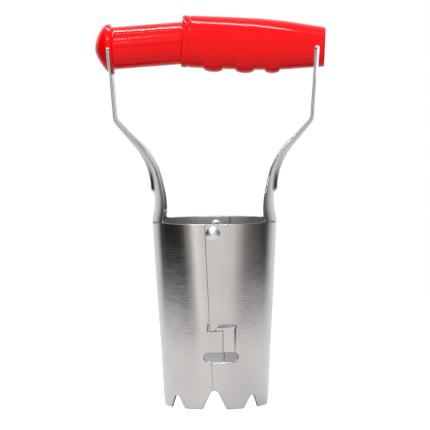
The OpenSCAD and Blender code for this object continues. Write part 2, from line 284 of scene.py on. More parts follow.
@dataclass(frozen=True)
class Planter:
    """Sizes that more than one piece follows."""

    barrel_h: float = 105.0
    barrel_w: float = 70.0
    barrel_d: float = 60.0
    wall: float = 1.2
    lean: float = 3.1
    lap_gap: float = 0.35
    rivet_drop: float = 5.5
    rivet_shank_d: float = 5.0
    pivot_z: float = 99.5
    arm_top: float = 203.0
    sleeve_z: float = 203.4
    sleeve_tilt: float = 2.8
    plunger_tilt: float = 3.9
    axes_meet: float = 9.0
    handle_x: float = 58.9
    sleeve_len: float = 76.2
    sleeve_end: float = 4.9
    sleeve_end_half_h: float = 11.17

    @classmethod
    def from_frame(cls) -> "Planter":
        """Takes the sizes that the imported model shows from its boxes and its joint.

        Returns:
            The shared sizes.
        """
        low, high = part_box("right_half_shell")
        rest = cls()
        sleeve_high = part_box("handle_sleeve")[1].x / MM
        tilt = math.radians(rest.sleeve_tilt)
        past_arm = rest.sleeve_end * math.cos(tilt) + rest.sleeve_end_half_h * math.sin(tilt)
        return cls(
            barrel_d=round((high.y - low.y) / MM, 2),
            pivot_z=round(frame["joints"][0]["pos_m"][2] / MM, 3),
            arm_top=round(high.z / MM, 2),
            handle_x=sleeve_high - past_arm,
        )

    @property
    def bare_len(self) -> float:
        """Length of the plunger between its arm and the sleeve's mouth."""
        return 2 * self.handle_x - self.sleeve_len

    @property
    def plunger_z(self) -> float:
        """Height of the plunger's axis at its arm: it meets the sleeve's axis inside the mouth."""
        meet = self.sleeve_z + (self.sleeve_len - self.axes_meet) * math.tan(math.radians(self.sleeve_tilt))
        return meet - (self.bare_len + self.axes_meet) * math.tan(math.radians(self.plunger_tilt))

    @property
    def outer_r(self) -> float:
        """Radius of the outer sheet's outer face."""
        return self.barrel_d / 2

    @property
    def inner_r(self) -> float:
        """Radius of the inner sheet's outer face."""
        return self.outer_r - self.wall - self.lap_gap

    def placed(self, own: Array, side: Side) -> Array:
        """Moves points from a half's own frame to the planter's.

        Args:
            own: points in the half's own frame.
            side: which half.

        Returns:
            The points in the planter's frame.
        """
        c, s = math.cos(math.radians(self.lean)), math.sin(math.radians(self.lean))
        x, y, z = own[..., 0], own[..., 1], own[..., 2]
        return np.stack([side.value * (x * c + z * s), y, self.pivot_z - x * s + z * c], axis=-1)

    def in_handle(self, own: Array, side: Side) -> Array:
        """Moves points from a handle half's own frame, with the arm at its origin, to the planter's.

        Args:
            own: points in the handle half's own frame.
            side: which half.

        Returns:
            The points in the planter's frame.
        """
        on_sleeve = side is Side.RIGHT
        tilt = math.radians(self.sleeve_tilt if on_sleeve else self.plunger_tilt)
        height = self.sleeve_z if on_sleeve else self.plunger_z
        c, s = math.cos(tilt), math.sin(tilt)
        x, y, z = own[..., 0], own[..., 1], own[..., 2]
        return np.stack([side.value * (self.handle_x + x * c + z * s), y, height - x * s + z * c], axis=-1)


class ArmLine:
    """The line that the middle of an arm's outer face follows, in the half's own frame."""

    neck_turn = 14.0
    slope = 39.5
    slope_len = 15.2
    curve_r = 40.0
    bend_r = 5.0
    head = 1.4
    below_rim = 4.0
    neck_in_len = 1.6
    neck_out_len = 3.5
    upright_len = 9.0
    root_len = 6.0
    rib_start = 2.0
    longest = 220.0
    step = 0.05
    softened = 20

    def __init__(self, planter: Planter) -> None:
        """Walks along the arm from inside the barrel to its end.

        Args:
            planter: the shared sizes.
        """
        lean = math.radians(planter.lean)
        rim_z = planter.rivet_drop + planter.barrel_w / 2 * math.sin(lean)
        self.start_z = rim_z - self.below_rim
        self.rim = rim_z - self.start_z
        self.neck_in = self.rim + self.neck_in_len
        self.neck_out = self.neck_in + self.neck_out_len
        self.upright = self.neck_out + self.upright_len
        self.curve = self.upright + self.root_len
        self.sloped = self.curve + self.curve_r * math.radians(self.slope)
        self.bend = self.sloped + self.slope_len
        self.straight = self.bend + self.bend_r * math.radians(self.slope - self.head)
        self.rib = self.upright + self.rib_start
        self.s = np.arange(0, self.longest, self.step)
        stations = (
            (0, 0), (self.rim, 0), (self.neck_in, -self.neck_turn), (self.neck_out, -self.neck_turn),
            (self.upright, 0), (self.curve, 0), (self.sloped, self.slope), (self.bend, self.slope),
            (self.straight, self.head),
        )
        bends = np.radians(np.interp(self.s, *zip(*stations)))
        window = 2 * self.softened + 1
        padded = np.pad(bends, self.softened, mode="edge")
        self.turn = np.convolve(padded, np.full(window, 1 / window), mode="valid")
        self.x = planter.barrel_w / 2 + np.concatenate([[0], np.cumsum(np.sin(self.turn))[:-1] * self.step])
        self.z = self.start_z + np.concatenate([[0], np.cumsum(np.cos(self.turn))[:-1] * self.step])
        height = planter.pivot_z - self.x * math.sin(lean) + self.z * math.cos(lean)
        self.end = float(self.s[np.searchsorted(height, planter.arm_top)])

    def at(self, s: Array) -> tuple[Array, Array, Array]:
        """The line's X, Z and direction.

        Args:
            s: lengths along the line.

        Returns:
            X, Z, and the angle outwards from the upright in radians.
        """
        return np.interp(s, self.s, self.x), np.interp(s, self.s, self.z), np.interp(s, self.s, self.turn)


# ---- Half shells ----


@dataclass
class HalfShell:
    """One half of the barrel with its arm: cut from flat sheet, then bent.

    A point of the flat blank has u round the barrel, 0 at the middle of the arm, and v along the
    height and then along the arm.
    """

    side: Side
    planter: Planter
    arm: ArmLine
    radius: float
    lap_top: float
    lap_low: float
    tooth_pitch: float = 45.0
    seam_notch: tuple[float, float] = (13.5, 10.6)
    notch: tuple[float, float] = (10.5, 7.2)
    arm_root_half_w: float = 17.5
    arm_half_w: float = 10.3
    rib_h: float = 1.8
    rib_half_w: float = 5.2
    tongue_z: float = 32.0
    tongue_h: float = 14.4
    tongue_gap: float = 0.9
    tongue_reach: float = 11.5
    tongue_root: float = 13.7
    ramp: float = 2.7
    strip_reach: float = 5.1
    slot_drop: float = 4.8
    slot_rise: float = 1.8
    lip_drop: float = 2.0
    edge_r: float = 0.42
    dish: float = 0.22
    dish_w: float = 6.5
    notch_foot: float = 0.35
    tongue_corner: float = 1.2
    lip_rise: float = 0.6
    strip_root: float = 3.5
    arm_corner: float = 1.6
    arm_fillet: float = 5.0
    root_flare: float = 2.2
    lip_fade: float = 14.0
    hole_play: float = 0.05
    clear_of_edge: float = 0.62
    lean_sin: float = field(init=False)
    lean_cos: float = field(init=False)

    def __post_init__(self) -> None:
        """Works out the lean's sine and cosine."""
        self.lean_sin = math.sin(math.radians(self.planter.lean))
        self.lean_cos = math.cos(math.radians(self.planter.lean))

    @property
    def centre_x(self) -> float:
        """Where the round part's centre lies in the half's own frame."""
        return self.planter.barrel_w / 2 - self.radius

    @property
    def quarter(self) -> float:
        """Length round the barrel from the arm to where the sheet turns flat."""
        return math.pi / 2 * self.radius

    @property
    def rivet_u(self) -> float:
        """Length round the barrel from the arm to the rivet."""
        return self.quarter + self.centre_x

    def free_edge(self, z: float) -> float:
        """How far out from the middle the free edge lies at a height."""
        return -(self.lap_low + (self.lap_top - self.lap_low) * z / self.planter.barrel_h)

    def flat(self, out: float, z: float) -> tuple[float, float]:
        """Finds where a place on the planter's front or back lies in the blank.

        Args:
            out: distance out from the middle.
            z: height above the tooth tips.

        Returns:
            u and v in the blank.
        """
        x = out * self.lean_cos - (z - self.planter.pivot_z) * self.lean_sin
        v = out * self.lean_sin + (z - self.planter.pivot_z) * self.lean_cos
        if x < self.centre_x:
            return self.quarter + self.centre_x - x, v
        return self.radius * math.acos(min(1.0, (x - self.centre_x) / self.radius)), v

    def level(self, u: float, z: float) -> tuple[float, float]:
        """The point of the blank at a place round the barrel that stands at a height.

        Args:
            u: place round the barrel.
            z: height above the tooth tips.

        Returns:
            u and v in the blank.
        """
        on_arc = u < self.quarter
        x = self.centre_x + (self.radius * math.cos(u / self.radius) if on_arc else self.quarter - u)
        return u, (z - self.planter.pivot_z + x * self.lean_sin) / self.lean_cos

    def notch_profile(self, width: float, height: float) -> list[tuple[float, float]]:
        """Edge of a notch between two teeth, from its left foot over its round top to its right foot.

        Args:
            width: width at the tooth tips.
            height: depth of the notch.

        Returns:
            Points of sideways place and height.
        """
        tip = width / 5
        lean_in = math.degrees(math.atan2(width / 2 - tip, height - tip))
        top = arc((0, height - tip), tip, 180 - lean_in, lean_in, 13)
        half, foot = width / 2, self.notch_foot
        return [(-half - foot, 0.0), (-half, foot), *top, (half, foot), (half + foot, 0.0)]

    def seam_features(self) -> list[tuple[float, float]]:
        """Follows the free edge round its windows and its tongue or strip, from above down.

        Returns:
            Points of distance out and height.
        """
        top, low = self.tongue_z + self.tongue_h, self.tongue_z - self.slot_drop
        round_r = self.slot_drop / 2
        if self.side is Side.RIGHT:
            lip, high, under = top + self.lip_rise, top + self.slot_rise, low - 0.7
            root, corner = self.tongue_root, self.tongue_corner
            return [
                (self.free_edge(lip), lip), (-self.lip_rise, lip), (1.5, lip + 0.5),
                (self.strip_reach - 1, high),
                (root - 4, high), (root - 1.6, top + 1.5), (root - 0.5, top + 0.8), (root - 0.9, top),
                *arc((corner - self.tongue_reach, top - corner), corner, 90, 180, 5),
                *arc((corner - self.tongue_reach, self.tongue_z + corner), corner, 180, 270, 5),
                *arc((root - round_r, low + round_r), round_r, 90, -90, 11),
                (self.free_edge(under), under),
            ]
        end, high, upper = self.strip_root, top + self.slot_rise, top - self.lip_drop
        return [
            (self.free_edge(high), high), (end, high), (end, upper),
            (-self.strip_reach, upper), (-self.strip_reach, self.tongue_z),
            *arc((end, self.tongue_z - round_r), round_r, 90, -90, 11),
            (self.free_edge(low), low),
        ]

    def half_outline(self) -> list[tuple[float, float]]:
        """Follows the blank's edge from the arm's end down to the middle of the lowest notch, on one side.

        Returns:
            Points of u and v in the blank.
        """
        p, arm = self.planter, self.arm
        corner, fillet = self.arm_corner, self.arm_fillet
        end = arm.start_z + arm.end
        points = [(0.0, end)]
        points += arc((self.arm_half_w - corner, end - corner), corner, 90, 0, 6)
        widths = (
            (arm.rib, self.arm_root_half_w - self.root_flare), (arm.curve + 6, self.arm_half_w + 2.4),
            (arm.sloped, self.arm_half_w + 0.4), (arm.bend, self.arm_half_w),
        )
        for s in np.linspace(arm.end - 4, arm.neck_out, 90):
            half = float(np.interp(s, *zip(*widths)))
            if s < arm.rib:
                half += self.root_flare * (arm.rib - s) / (arm.rib - arm.neck_out)
            points.append((self.girth(half, s), arm.start_z + float(s)))
        foot = self.girth(self.arm_root_half_w, arm.neck_out) + fillet
        rim_v = self.level(foot, p.barrel_h)[1]
        points += arc((foot, rim_v + fillet), fillet, 180, 268, 12)
        lap_u = self.flat(self.free_edge(p.barrel_h), p.barrel_h)[0]
        points += [self.level(u, p.barrel_h) for u in np.linspace(foot + 1, lap_u - 1, 50)]
        points += [self.flat(self.free_edge(p.barrel_h - 1), p.barrel_h - 1)]
        points += [self.flat(*q) for q in self.seam_features()]
        seam = [q for q in self.notch_profile(*self.seam_notch) if q[0] > self.free_edge(q[1]) + 0.2]
        first = seam[0]
        points.append(self.flat(self.free_edge(first[1]), first[1]))
        points += [self.flat(*q) for q in seam]
        middle = math.radians(self.tooth_pitch) * self.radius
        points += [self.level(middle - a, h) for a, h in self.notch_profile(*self.notch)]
        points += [self.level(-a, h) for a, h in self.notch_profile(*self.notch) if a < -0.01]
        points.append(self.level(0.0, self.notch[1]))
        return points

    def girth(self, half: float, s: float) -> float:
        """Length across the bowed sheet that spans a straight half width at a place along the arm."""
        bowed = self.radius * math.asin(min(1.0, half / self.radius))
        return half + (bowed - half) * float(self.bow_share(np.array([s]))[0])

    def bow_share(self, s: Array) -> Array:
        """How much of the barrel's roundness is left in the arm: 1 is all of it."""
        arm = self.arm
        return np.interp(s, [arm.curve + 8, arm.sloped - 6, arm.sloped + 4], [1.0, 0.45, 0.0])

    def rib_height(self, s: Array) -> Array:
        """Gives the pressed rib's height, which fades over the arm's upper end.

        Args:
            s: lengths along the arm.

        Returns:
            The heights.
        """
        arm = self.arm
        run = arm.end - arm.straight
        shares = (
            (arm.rib - 0.4, 0), (arm.rib + 1.8, 1), (arm.sloped, 1), (arm.bend, 0.6), (arm.straight, 0.45),
            (arm.straight + run * 0.5, 0.4), (arm.straight + run * 0.66, 0),
        )
        return self.rib_h * np.interp(s, *zip(*shares))

    def bent(self, u: Array, v: Array, band: Array) -> Array:
        """Where the blank's outer face lies once it is bent.

        Args:
            u: place round the barrel, negative at the front on the right half.
            v: place along the height.
            band: 0 on the plain sheet, 1 on the tongue and 2 on the lip above the window.

        Returns:
            Points in the planter's frame as if this were the right half.
        """
        p, r = self.planter, self.radius
        side = np.where(u < 0, -1.0, 1.0)
        girth = np.abs(u)
        away = np.hypot(girth - self.rivet_u, v)
        pressed = r - self.dish * np.exp(-((away / self.dish_w) ** 2))
        on_arc = girth < self.quarter
        flat_x = self.centre_x + self.quarter - girth
        x = np.where(on_arc, self.centre_x + pressed * np.cos(girth / r), flat_x)
        y = side * np.where(on_arc, pressed * np.sin(girth / r), pressed)
        z = v.astype(float).copy()
        s = v - self.arm.start_z
        above = s > self.arm.rim
        share = self.bow_share(s)
        across = share * r * np.sin(u / r) + (1 - share) * u
        fall = share * (r - np.sqrt(np.maximum(r * r - across * across, 0)))
        core = self.rib_half_w * 0.42
        lift = self.rib_height(s) * ease((self.rib_half_w - np.abs(across)) / (self.rib_half_w - core))
        line_x, line_z, turn = self.arm.at(s)
        x = np.where(above, line_x + np.cos(turn) * (lift - fall), x)
        z = np.where(above, line_z - np.sin(turn) * (lift - fall), z)
        y = np.where(above, across, y)
        rest = p.placed(np.stack([x, y, z], axis=-1), Side.RIGHT)
        if self.side is Side.LEFT:
            return rest
        out, height = rest[:, 0], rest[:, 2]
        top = self.tongue_z + self.tongue_h
        # the lip's left end is cut lower than the blank shows it, in front of the tongue
        run = np.clip((out + self.lip_rise) / (self.strip_reach - 0.4), 0, 1)
        shown = top + self.lip_rise + (self.slot_rise - self.lip_rise) * run
        wanted = top - self.lip_drop + (self.lip_drop + self.slot_rise) * ease(run)
        fade = 1 - np.clip((height - shown) / self.lip_fade, 0, 1)
        rest[:, 2] = np.where(band == 2, height - (shown - wanted) * fade, height)
        # the tongue steps back behind the other half's sheet and follows its roundness
        other_x = -out * self.lean_cos - (height - p.pivot_z) * self.lean_sin
        past = np.maximum(other_x - (p.barrel_w / 2 - p.inner_r), 0)
        behind = p.inner_r - p.wall - self.tongue_gap
        deep = np.sqrt(np.maximum(behind**2 - past**2, 1))
        step = ease((self.tongue_root - out) / self.ramp)
        rest[:, 1] = np.where(band == 1, side * ((1 - step) * np.abs(rest[:, 1]) + step * deep), rest[:, 1])
        return rest

    def banded(self, u: Array, v: Array) -> Array:
        """Says for each point of the blank whether it is plain sheet, tongue or lip.

        Args:
            u: place round the barrel.
            v: place along the height.

        Returns:
            0 on the plain sheet, 1 on the tongue and 2 on the lip above the window.
        """
        band = np.zeros(len(u), int)
        if self.side is Side.LEFT:
            return band
        girth = np.abs(u)
        round_x = self.radius * np.cos(girth / self.radius)
        x = self.centre_x + np.where(girth < self.quarter, round_x, self.quarter - girth)
        out = x * self.lean_cos + v * self.lean_sin
        height = self.planter.pivot_z - x * self.lean_sin + v * self.lean_cos
        top = self.tongue_z + self.tongue_h
        near = (out < self.tongue_root) & (v < self.arm.start_z)
        band[near & (height > self.tongue_z - 0.1) & (height < top + 0.2)] = 1
        band[near & (height >= top + 0.2)] = 2
        return band

    def blank(self) -> tuple[list[Array], Array]:
        """The flat blank: its outline, its two rivet holes, and points spread over it.

        Returns:
            The loops, outline first, and the points inside.
        """
        half = np.array(self.half_outline())
        mirrored = half[::-1][1:-1] * [-1, 1]
        outline = divided(np.concatenate([half, mirrored]), 0.9)[::-1]
        ahead = np.roll(outline, -1, axis=0)
        if np.sum(outline[:, 0] * ahead[:, 1] - ahead[:, 0] * outline[:, 1]) < 0:
            outline = outline[::-1]
        hole_r = self.planter.rivet_shank_d / 2 + self.hole_play
        holes = [np.array(arc((sign * self.rivet_u, 0.0), hole_r, 360, 0, 41)[:-1]) for sign in (1, -1)]
        # each stretch of the sheet has its own spacing, closest where it is bent most
        spreads = []
        high = self.arm.start_z + self.arm.end
        for (u0, u1, v0, v1, du, dv) in (
            (-62, 62, -101, self.arm.start_z - 1, 1.5, 1.9),
            (-62, 62, self.arm.start_z, self.arm.start_z + 7, 1.3, 1.0),
            (-20, 20, self.arm.start_z + 8, self.arm.start_z + self.arm.rib - 2, 1.1, 1.0),
            (-20, 20, self.arm.start_z + self.arm.rib - 1.2, high, 0.75, 1.0),
        ):
            us, vs = np.meshgrid(np.arange(u0, u1 + 0.01, du), np.arange(v0, v1 + 0.01, dv))
            spreads.append(np.stack([us.ravel(), vs.ravel()], axis=1))
        if self.side is Side.RIGHT:
            # the tongue's ramp is too steep for the plain spacing
            root_u = self.flat(self.tongue_root, self.tongue_z + self.tongue_h / 2)[0]
            us, vs = np.meshgrid(np.arange(root_u - 1, root_u + 5, 0.45), np.arange(-68, -52, 1.1))
            fine = np.concatenate([np.stack([sign * us.ravel(), vs.ravel()], axis=1) for sign in (1, -1)])
            coarse = spreads[0]
            hidden = (np.abs(np.abs(coarse[:, 0]) - root_u - 2) < 3.4) & (np.abs(coarse[:, 1] + 60) < 8.6)
            spreads[0] = coarse[~hidden]
            spreads.append(fine)
        points = np.concatenate(spreads)
        keep = inside(points, outline)
        for hole in holes:
            keep &= ~inside(points, hole)
        points = points[keep]
        rims = np.concatenate([outline, *holes])
        near = np.array([np.min(np.hypot(*(rims - q).T)) for q in points])
        return [outline, *holes], points[near > self.clear_of_edge]

    def build(self) -> bpy.types.Object:
        """Cuts the blank, gives its edges a small round, and bends it.

        Returns:
            The closed half shell.
        """
        loops, spread = self.blank()
        wall, r = self.planter.wall, self.edge_r
        slant = math.sqrt(0.5)
        off = r * (1 - slant)
        # rows round the cut edge: how far in and how deep they lie, and how far they face out and up
        rows = [
            (r, 0.0, 0.0, 1.0), (off, -off, slant, slant), (0.0, -r, 1.0, 0.0),
            (0.0, -wall + r, 1.0, 0.0), (off, -wall + off, slant, -slant), (r, -wall, 0.0, -1.0),
        ]
        flat, depth, lean_out, outward, cut = [], [], [], [], []
        ring_start: list[list[int]] = []
        count = 0
        for loop in loops:
            ahead = np.roll(loop, -1, axis=0) - loop
            ahead /= np.linalg.norm(ahead, axis=1, keepdims=True)
            back = np.roll(ahead, 1, axis=0)
            normal = np.stack([ahead[:, 1] + back[:, 1], -(ahead[:, 0] + back[:, 0])], axis=1)
            length = np.linalg.norm(normal, axis=1, keepdims=True)
            unit = normal / length
            miter = np.minimum(1 / np.maximum(length / 2, 0.3), 1.6)
            starts = []
            for inset, n, outwards, up in rows:
                flat.append(loop - unit * miter * inset)
                depth.append(np.full(len(loop), n))
                lean_out.append(unit * outwards)
                outward.append(np.full(len(loop), up))
                cut.append(np.full(len(loop), 1.0 if outwards > 0.9 else 0.6 if outwards > 0 else 0.0))
                starts.append(count)
                count += len(loop)
            ring_start.append(starts)
        top_start, low_start = count, count + len(spread)
        for n, up in ((0.0, 1.0), (-wall, -1.0)):
            flat.append(spread)
            depth.append(np.full(len(spread), n))
            lean_out.append(np.zeros((len(spread), 2)))
            outward.append(np.full(len(spread), up))
            cut.append(np.zeros(len(spread)))
        uv = np.concatenate(flat)
        sheet_n, tilt, up, cut_edge = map(np.concatenate, (depth, lean_out, outward, cut))
        u, v = uv.T
        band = self.banded(u, v)
        at = self.bent(u, v, band)
        nudge = 0.02
        along_u = (self.bent(u + nudge, v, band) - self.bent(u - nudge, v, band)) / (2 * nudge)
        along_v = (self.bent(u, v + nudge, band) - self.bent(u, v - nudge, band)) / (2 * nudge)
        face = np.cross(along_u, along_v)
        face /= np.linalg.norm(face, axis=1, keepdims=True)
        corners = at + face * sheet_n[:, None]
        along_u /= np.linalg.norm(along_u, axis=1, keepdims=True)
        along_v /= np.linalg.norm(along_v, axis=1, keepdims=True)
        normals = tilt[:, :1] * along_u + tilt[:, 1:] * along_v + up[:, None] * face
        normals /= np.linalg.norm(normals, axis=1, keepdims=True)
        faces: list[tuple[int, ...]] = []
        for loop, starts in zip(loops, ring_start):
            n = len(loop)
            for a, b in zip(starts, starts[1:]):
                faces += [(a + i, b + i, b + (i + 1) % n, a + (i + 1) % n) for i in range(n)]
        faces += self.triangles(loops, ring_start, rows[0][0], uv, spread, top_start, low_start)
        if self.side is Side.LEFT:
            corners[:, 0] *= -1
            normals[:, 0] *= -1
            faces = [f[::-1] for f in faces]
        name = f"{self.side.name.lower()}_pressed_half"
        shell = mesh_object(name, corners, faces, sharp_deg=180)
        mesh = shell.data
        mesh.normals_split_custom_set_from_vertices([tuple(n) for n in normals])
        layer = mesh.uv_layers.new(name="blank")
        index = np.zeros(len(mesh.loops), np.int32)
        mesh.loops.foreach_get("vertex_index", index)
        layer.data.foreach_set("uv", (uv[index] * MM).astype(np.float32).ravel())
        # the arms were polished all round and the barrel was left as it was cut; the barrel's cut edges and
        # the arms' rounded corners are painted dark, as painted shade
        polished = np.clip((uv[:, 1] - self.arm.start_z - self.arm.rim) / 6, 0, 1)
        corner = ((cut_edge > 0) & (cut_edge < 1)) * polished
        marks = {"cut_edge": cut_edge * (1 - polished) + corner, "polished": polished,
                 "inner_face": np.clip(-sheet_n / wall, 0, 1) * (1 - polished)}
        for label, values in marks.items():
            mark = mesh.attributes.new(label, "FLOAT", "POINT")
            mark.data.foreach_set("value", values.astype(np.float32))
        return shell

    def triangles(
        self,
        loops: list[Array],
        ring_start: list[list[int]],
        inset: float,
        uv: Array,
        spread: Array,
        top_start: int,
        low_start: int,
    ) -> list[tuple[int, ...]]:
        """Fills the blank's two faces.

        Args:
            loops: the outline and the holes.
            ring_start: the first corner number of each row round each loop.
            inset: how far the faces' edge is set in from the outline; not used.
            uv: every corner's place in the blank.
            spread: the points inside the blank.
            top_start: the first corner number of those points on the outer face.
            low_start: the same on the inner face.

        Returns:
            The triangles of both faces.
        """
        top_ids, low_ids, edges = [], [], []
        for loop, starts in zip(loops, ring_start):
            n, base = len(loop), len(top_ids)
            top_ids += range(starts[0], starts[0] + n)
            low_ids += range(starts[-1], starts[-1] + n)
            edges += [(base + i, base + (i + 1) % n) for i in range(n)]
        border = len(top_ids)
        top_ids += range(top_start, top_start + len(spread))
        low_ids += range(low_start, low_start + len(spread))
        flat = uv[top_ids]
        points, _, found, origin, _, _ = delaunay_2d_cdt([Vector(q) for q in flat], edges, [], 0, 1e-7)
        source = [o[0] if o else -1 for o in origin]
        if min(source) < 0:
            log.warning("%s: the blank's outline crosses itself", self.side.name)
        tris = np.array([[source[i] for i in f] for f in found])
        middle = flat[tris].mean(axis=1)
        starts = np.cumsum([0] + [len(loop) for loop in loops[:-1]])
        rims = [flat[start : start + len(loop)] for start, loop in zip(starts, loops)]
        keep = inside(middle, rims[0])
        for rim in rims[1:]:
            keep &= ~inside(middle, rim)
        tris = tris[keep]
        a, b, c = flat[tris[:, 0]], flat[tris[:, 1]], flat[tris[:, 2]]
        turned = ((b - a)[:, 0] * (c - a)[:, 1] - (b - a)[:, 1] * (c - a)[:, 0]) < 0
        tris[turned] = tris[turned][:, ::-1]
        log.info("%s blank: %d rim points, %d triangles a face", self.side.name.lower(), border, len(tris))
        top = [tuple(top_ids[i] for i in t) for t in tris]
        low = [tuple(low_ids[i] for i in t[::-1]) for t in tris]
        return top + low

    def dress(self, shell: bpy.types.Object, finish: bpy.types.Material) -> None:
        """Gives the shell its finish and hangs it on its body in place of the plain one.

        Args:
            shell: the closed half shell.
            finish: its material.
        """
        shell.data.materials.append(finish)
        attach(shell, self.side.body)
        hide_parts(f"{self.side.name.lower()}_half_shell")


# ---- Rivets ----


@dataclass
class Rivets:
    """The two domed rivets that the halves turn on, with their rolled inner ends."""

    planter: Planter
    head_d: float = 8.5
    head_h: float = 1.9
    roll_r: float = 1.0
    grip_play: float = 0.1
    points_round: int = 48

    def profile(self) -> Array:
        """Draws half the section of a rivet, from the dome's middle to the bottom of its hollow end.

        Returns:
            Points of distance from the axis and depth inwards from the sheet.
        """
        head, shank = self.head_d / 2, self.planter.rivet_shank_d / 2
        grip = 2 * self.planter.wall + self.planter.lap_gap + self.grip_play
        dome_r = (head**2 + self.head_h**2) / (2 * self.head_h)
        spread = math.degrees(math.asin(head / dome_r))
        dome = [
            (dome_r * math.sin(math.radians(a)), dome_r - self.head_h - dome_r * math.cos(math.radians(a)))
            for a in np.linspace(0.5, spread - 2, 16)
        ]
        lip = [(head - 0.02, -0.25), (head - 0.15, -0.04), (head - 0.4, -0.01), (shank + 0.2, -0.01)]
        neck = [(shank, 0.1), (shank, grip - 0.05)]
        roll = arc((shank - 0.2, grip + self.roll_r), self.roll_r, -70, 200, 20)
        bore = [(shank - 0.9, grip - 0.5), (shank - 1.1, grip - 0.8), (0.05, grip - 0.8)]
        return np.array(dome + lip + neck + roll + bore)

    def build(self, finish: bpy.types.Material) -> bpy.types.Object:
        """Turns one rivet and sets a copy on each side of the barrel.

        Args:
            finish: the rivets' material.

        Returns:
            Both rivets as one mesh.
        """
        about_axis = np.linspace(0, -2 * math.pi, self.points_round, endpoint=False)
        rings = np.array([
            [(d * math.cos(a), z, d * math.sin(a)) for a in about_axis] for d, z in self.profile()
        ])
        corners, faces = lofted(rings)
        pattern = mesh_object("rivet_pattern", corners, [f[::-1] for f in faces], sharp_deg=50)
        carrier = mesh_object("domed_rivets", np.zeros((1, 3)), [])
        tree = bpy.data.node_groups.new("rivets_on_both_sides", "GeometryNodeTree")
        sockets = {
            name: tree.interface.new_socket(name, in_out="INPUT", socket_type=kind)
            for name, kind in (("Rivet", "NodeSocketObject"), ("Seat Depth", "NodeSocketFloat"),
                               ("Height", "NodeSocketFloat"), ("Finish", "NodeSocketMaterial"))
        }
        tree.interface.new_socket("Geometry", in_out="OUTPUT", socket_type="NodeSocketGeometry")
        given = add(tree, "NodeGroupInput")
        front = add(tree, "ShaderNodeMath", {0: given.outputs["Seat Depth"], 1: -1.0}, operation="MULTIPLY")
        start = add(tree, "ShaderNodeCombineXYZ", {"Y": front.outputs[0], "Z": given.outputs["Height"]})
        end = add(
            tree, "ShaderNodeCombineXYZ", {"Y": given.outputs["Seat Depth"], "Z": given.outputs["Height"]})
        seats = add(tree, "GeometryNodeMeshLine", {"Count": 2, "Start Location": start.outputs[0],
                                                   "Offset": end.outputs[0]}, mode="END_POINTS")
        index = add(tree, "GeometryNodeInputIndex")
        about = add(tree, "ShaderNodeMath", {0: index.outputs[0], 1: math.pi}, operation="MULTIPLY")
        turn = add(tree, "ShaderNodeCombineXYZ", {"Z": about.outputs[0]})
        shape = add(tree, "GeometryNodeObjectInfo", {"Object": given.outputs["Rivet"]})
        copies = add(tree, "GeometryNodeInstanceOnPoints", {
            "Points": seats.outputs[0], "Instance": shape.outputs["Geometry"], "Rotation": turn.outputs[0]})
        whole = add(tree, "GeometryNodeRealizeInstances", {"Geometry": copies.outputs[0]})
        dressed = add(tree, "GeometryNodeSetMaterial", {
            "Geometry": whole.outputs[0], "Material": given.outputs["Finish"]})
        add(tree, "NodeGroupOutput", {"Geometry": dressed.outputs[0]})
        modifier = carrier.modifiers.new("rivets", "NODES")
        modifier.node_group = tree
        modifier[sockets["Rivet"].identifier] = pattern
        modifier[sockets["Seat Depth"].identifier] = self.planter.outer_r * MM
        modifier[sockets["Height"].identifier] = self.planter.pivot_z * MM
        modifier[sockets["Finish"].identifier] = finish
        baked(carrier)
        bpy.data.objects.remove(pattern)
        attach(carrier, Side.RIGHT.body)
        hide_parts("front_rivet", "rear_rivet")
        return carrier


# ---- Handle ----


@dataclass
class HandleHalf:
    """What the two halves of the telescoping handle share."""

    planter: Planter
    arm: ArmLine
    points_round: int = 112
    slot_w: float = 2.6
    fit_gap: float = 0.15
    slot_over: float = 1.4
    below: float = 40.0
    across: float = 20.0
    edge_w: float = 0.22

    def section(self, roundness: float) -> Array:
        """Draws a rounded section of unit half depth and half height.

        Args:
            roundness: 1 for an ellipse, and less for squarer corners.

        Returns:
            Points of depth and height.
        """
        angle = np.linspace(0, 2 * math.pi, self.points_round, endpoint=False)
        c, s = np.cos(angle), np.sin(angle)
        return np.stack([np.sign(c) * np.abs(c) ** roundness, np.sign(s) * np.abs(s) ** roundness], axis=1)

    def cut_arm_slot(self, piece: bpy.types.Object, side: Side) -> None:
        """Cuts the slot that the arm's end sits in, open downwards, and rounds its edges.

        Args:
            piece: the handle half.
            side: which half it is.
        """
        x, z, turn = (float(a) for a in self.arm.at(self.arm.end))
        left = -self.planter.wall - self.fit_gap
        half = self.slot_w / 2
        top = [(left + half + half * math.cos(a), self.slot_over - half + half * math.sin(a))
               for a in np.linspace(0, math.pi, 13)]
        ring = np.array([(left + self.slot_w, -self.below), *top, (left, -self.below)])
        own = np.array([
            [(x + math.cos(turn) * a + math.sin(turn) * b, y, z - math.sin(turn) * a + math.cos(turn) * b)
             for a, b in ring]
            for y in (-self.across, self.across)
        ])
        corners, faces = lofted(self.planter.placed(own, side))
        if side is Side.RIGHT:
            faces = [f[::-1] for f in faces]
        cutter = mesh_object("slot_cutter", corners, faces)
        cut = piece.modifiers.new("arm_slot", "BOOLEAN")
        cut.operation, cut.solver, cut.object = "DIFFERENCE", "EXACT", cutter
        baked(piece)
        bpy.data.objects.remove(cutter)
        soften = piece.modifiers.new("edges", "BEVEL")
        soften.limit_method, soften.angle_limit = "ANGLE", math.radians(55)
        soften.width, soften.segments, soften.use_clamp_overlap = self.edge_w * MM, 2, True
        baked(piece)
        piece.data.shade_smooth()
        piece.data.set_sharp_from_angle(angle=math.radians(50))

    def hung(self, piece: bpy.types.Object, side: Side, node: str, finish: bpy.types.Material) -> None:
        """Gives a handle half its finish and hangs it on its body in place of the plain one.

        Args:
            piece: the handle half.
            side: which half it is.
            node: the plain piece that it stands in for.
            finish: its material.
        """
        piece.data.materials.clear()
        piece.data.materials.append(finish)
        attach(piece, side.body)
        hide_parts(node)


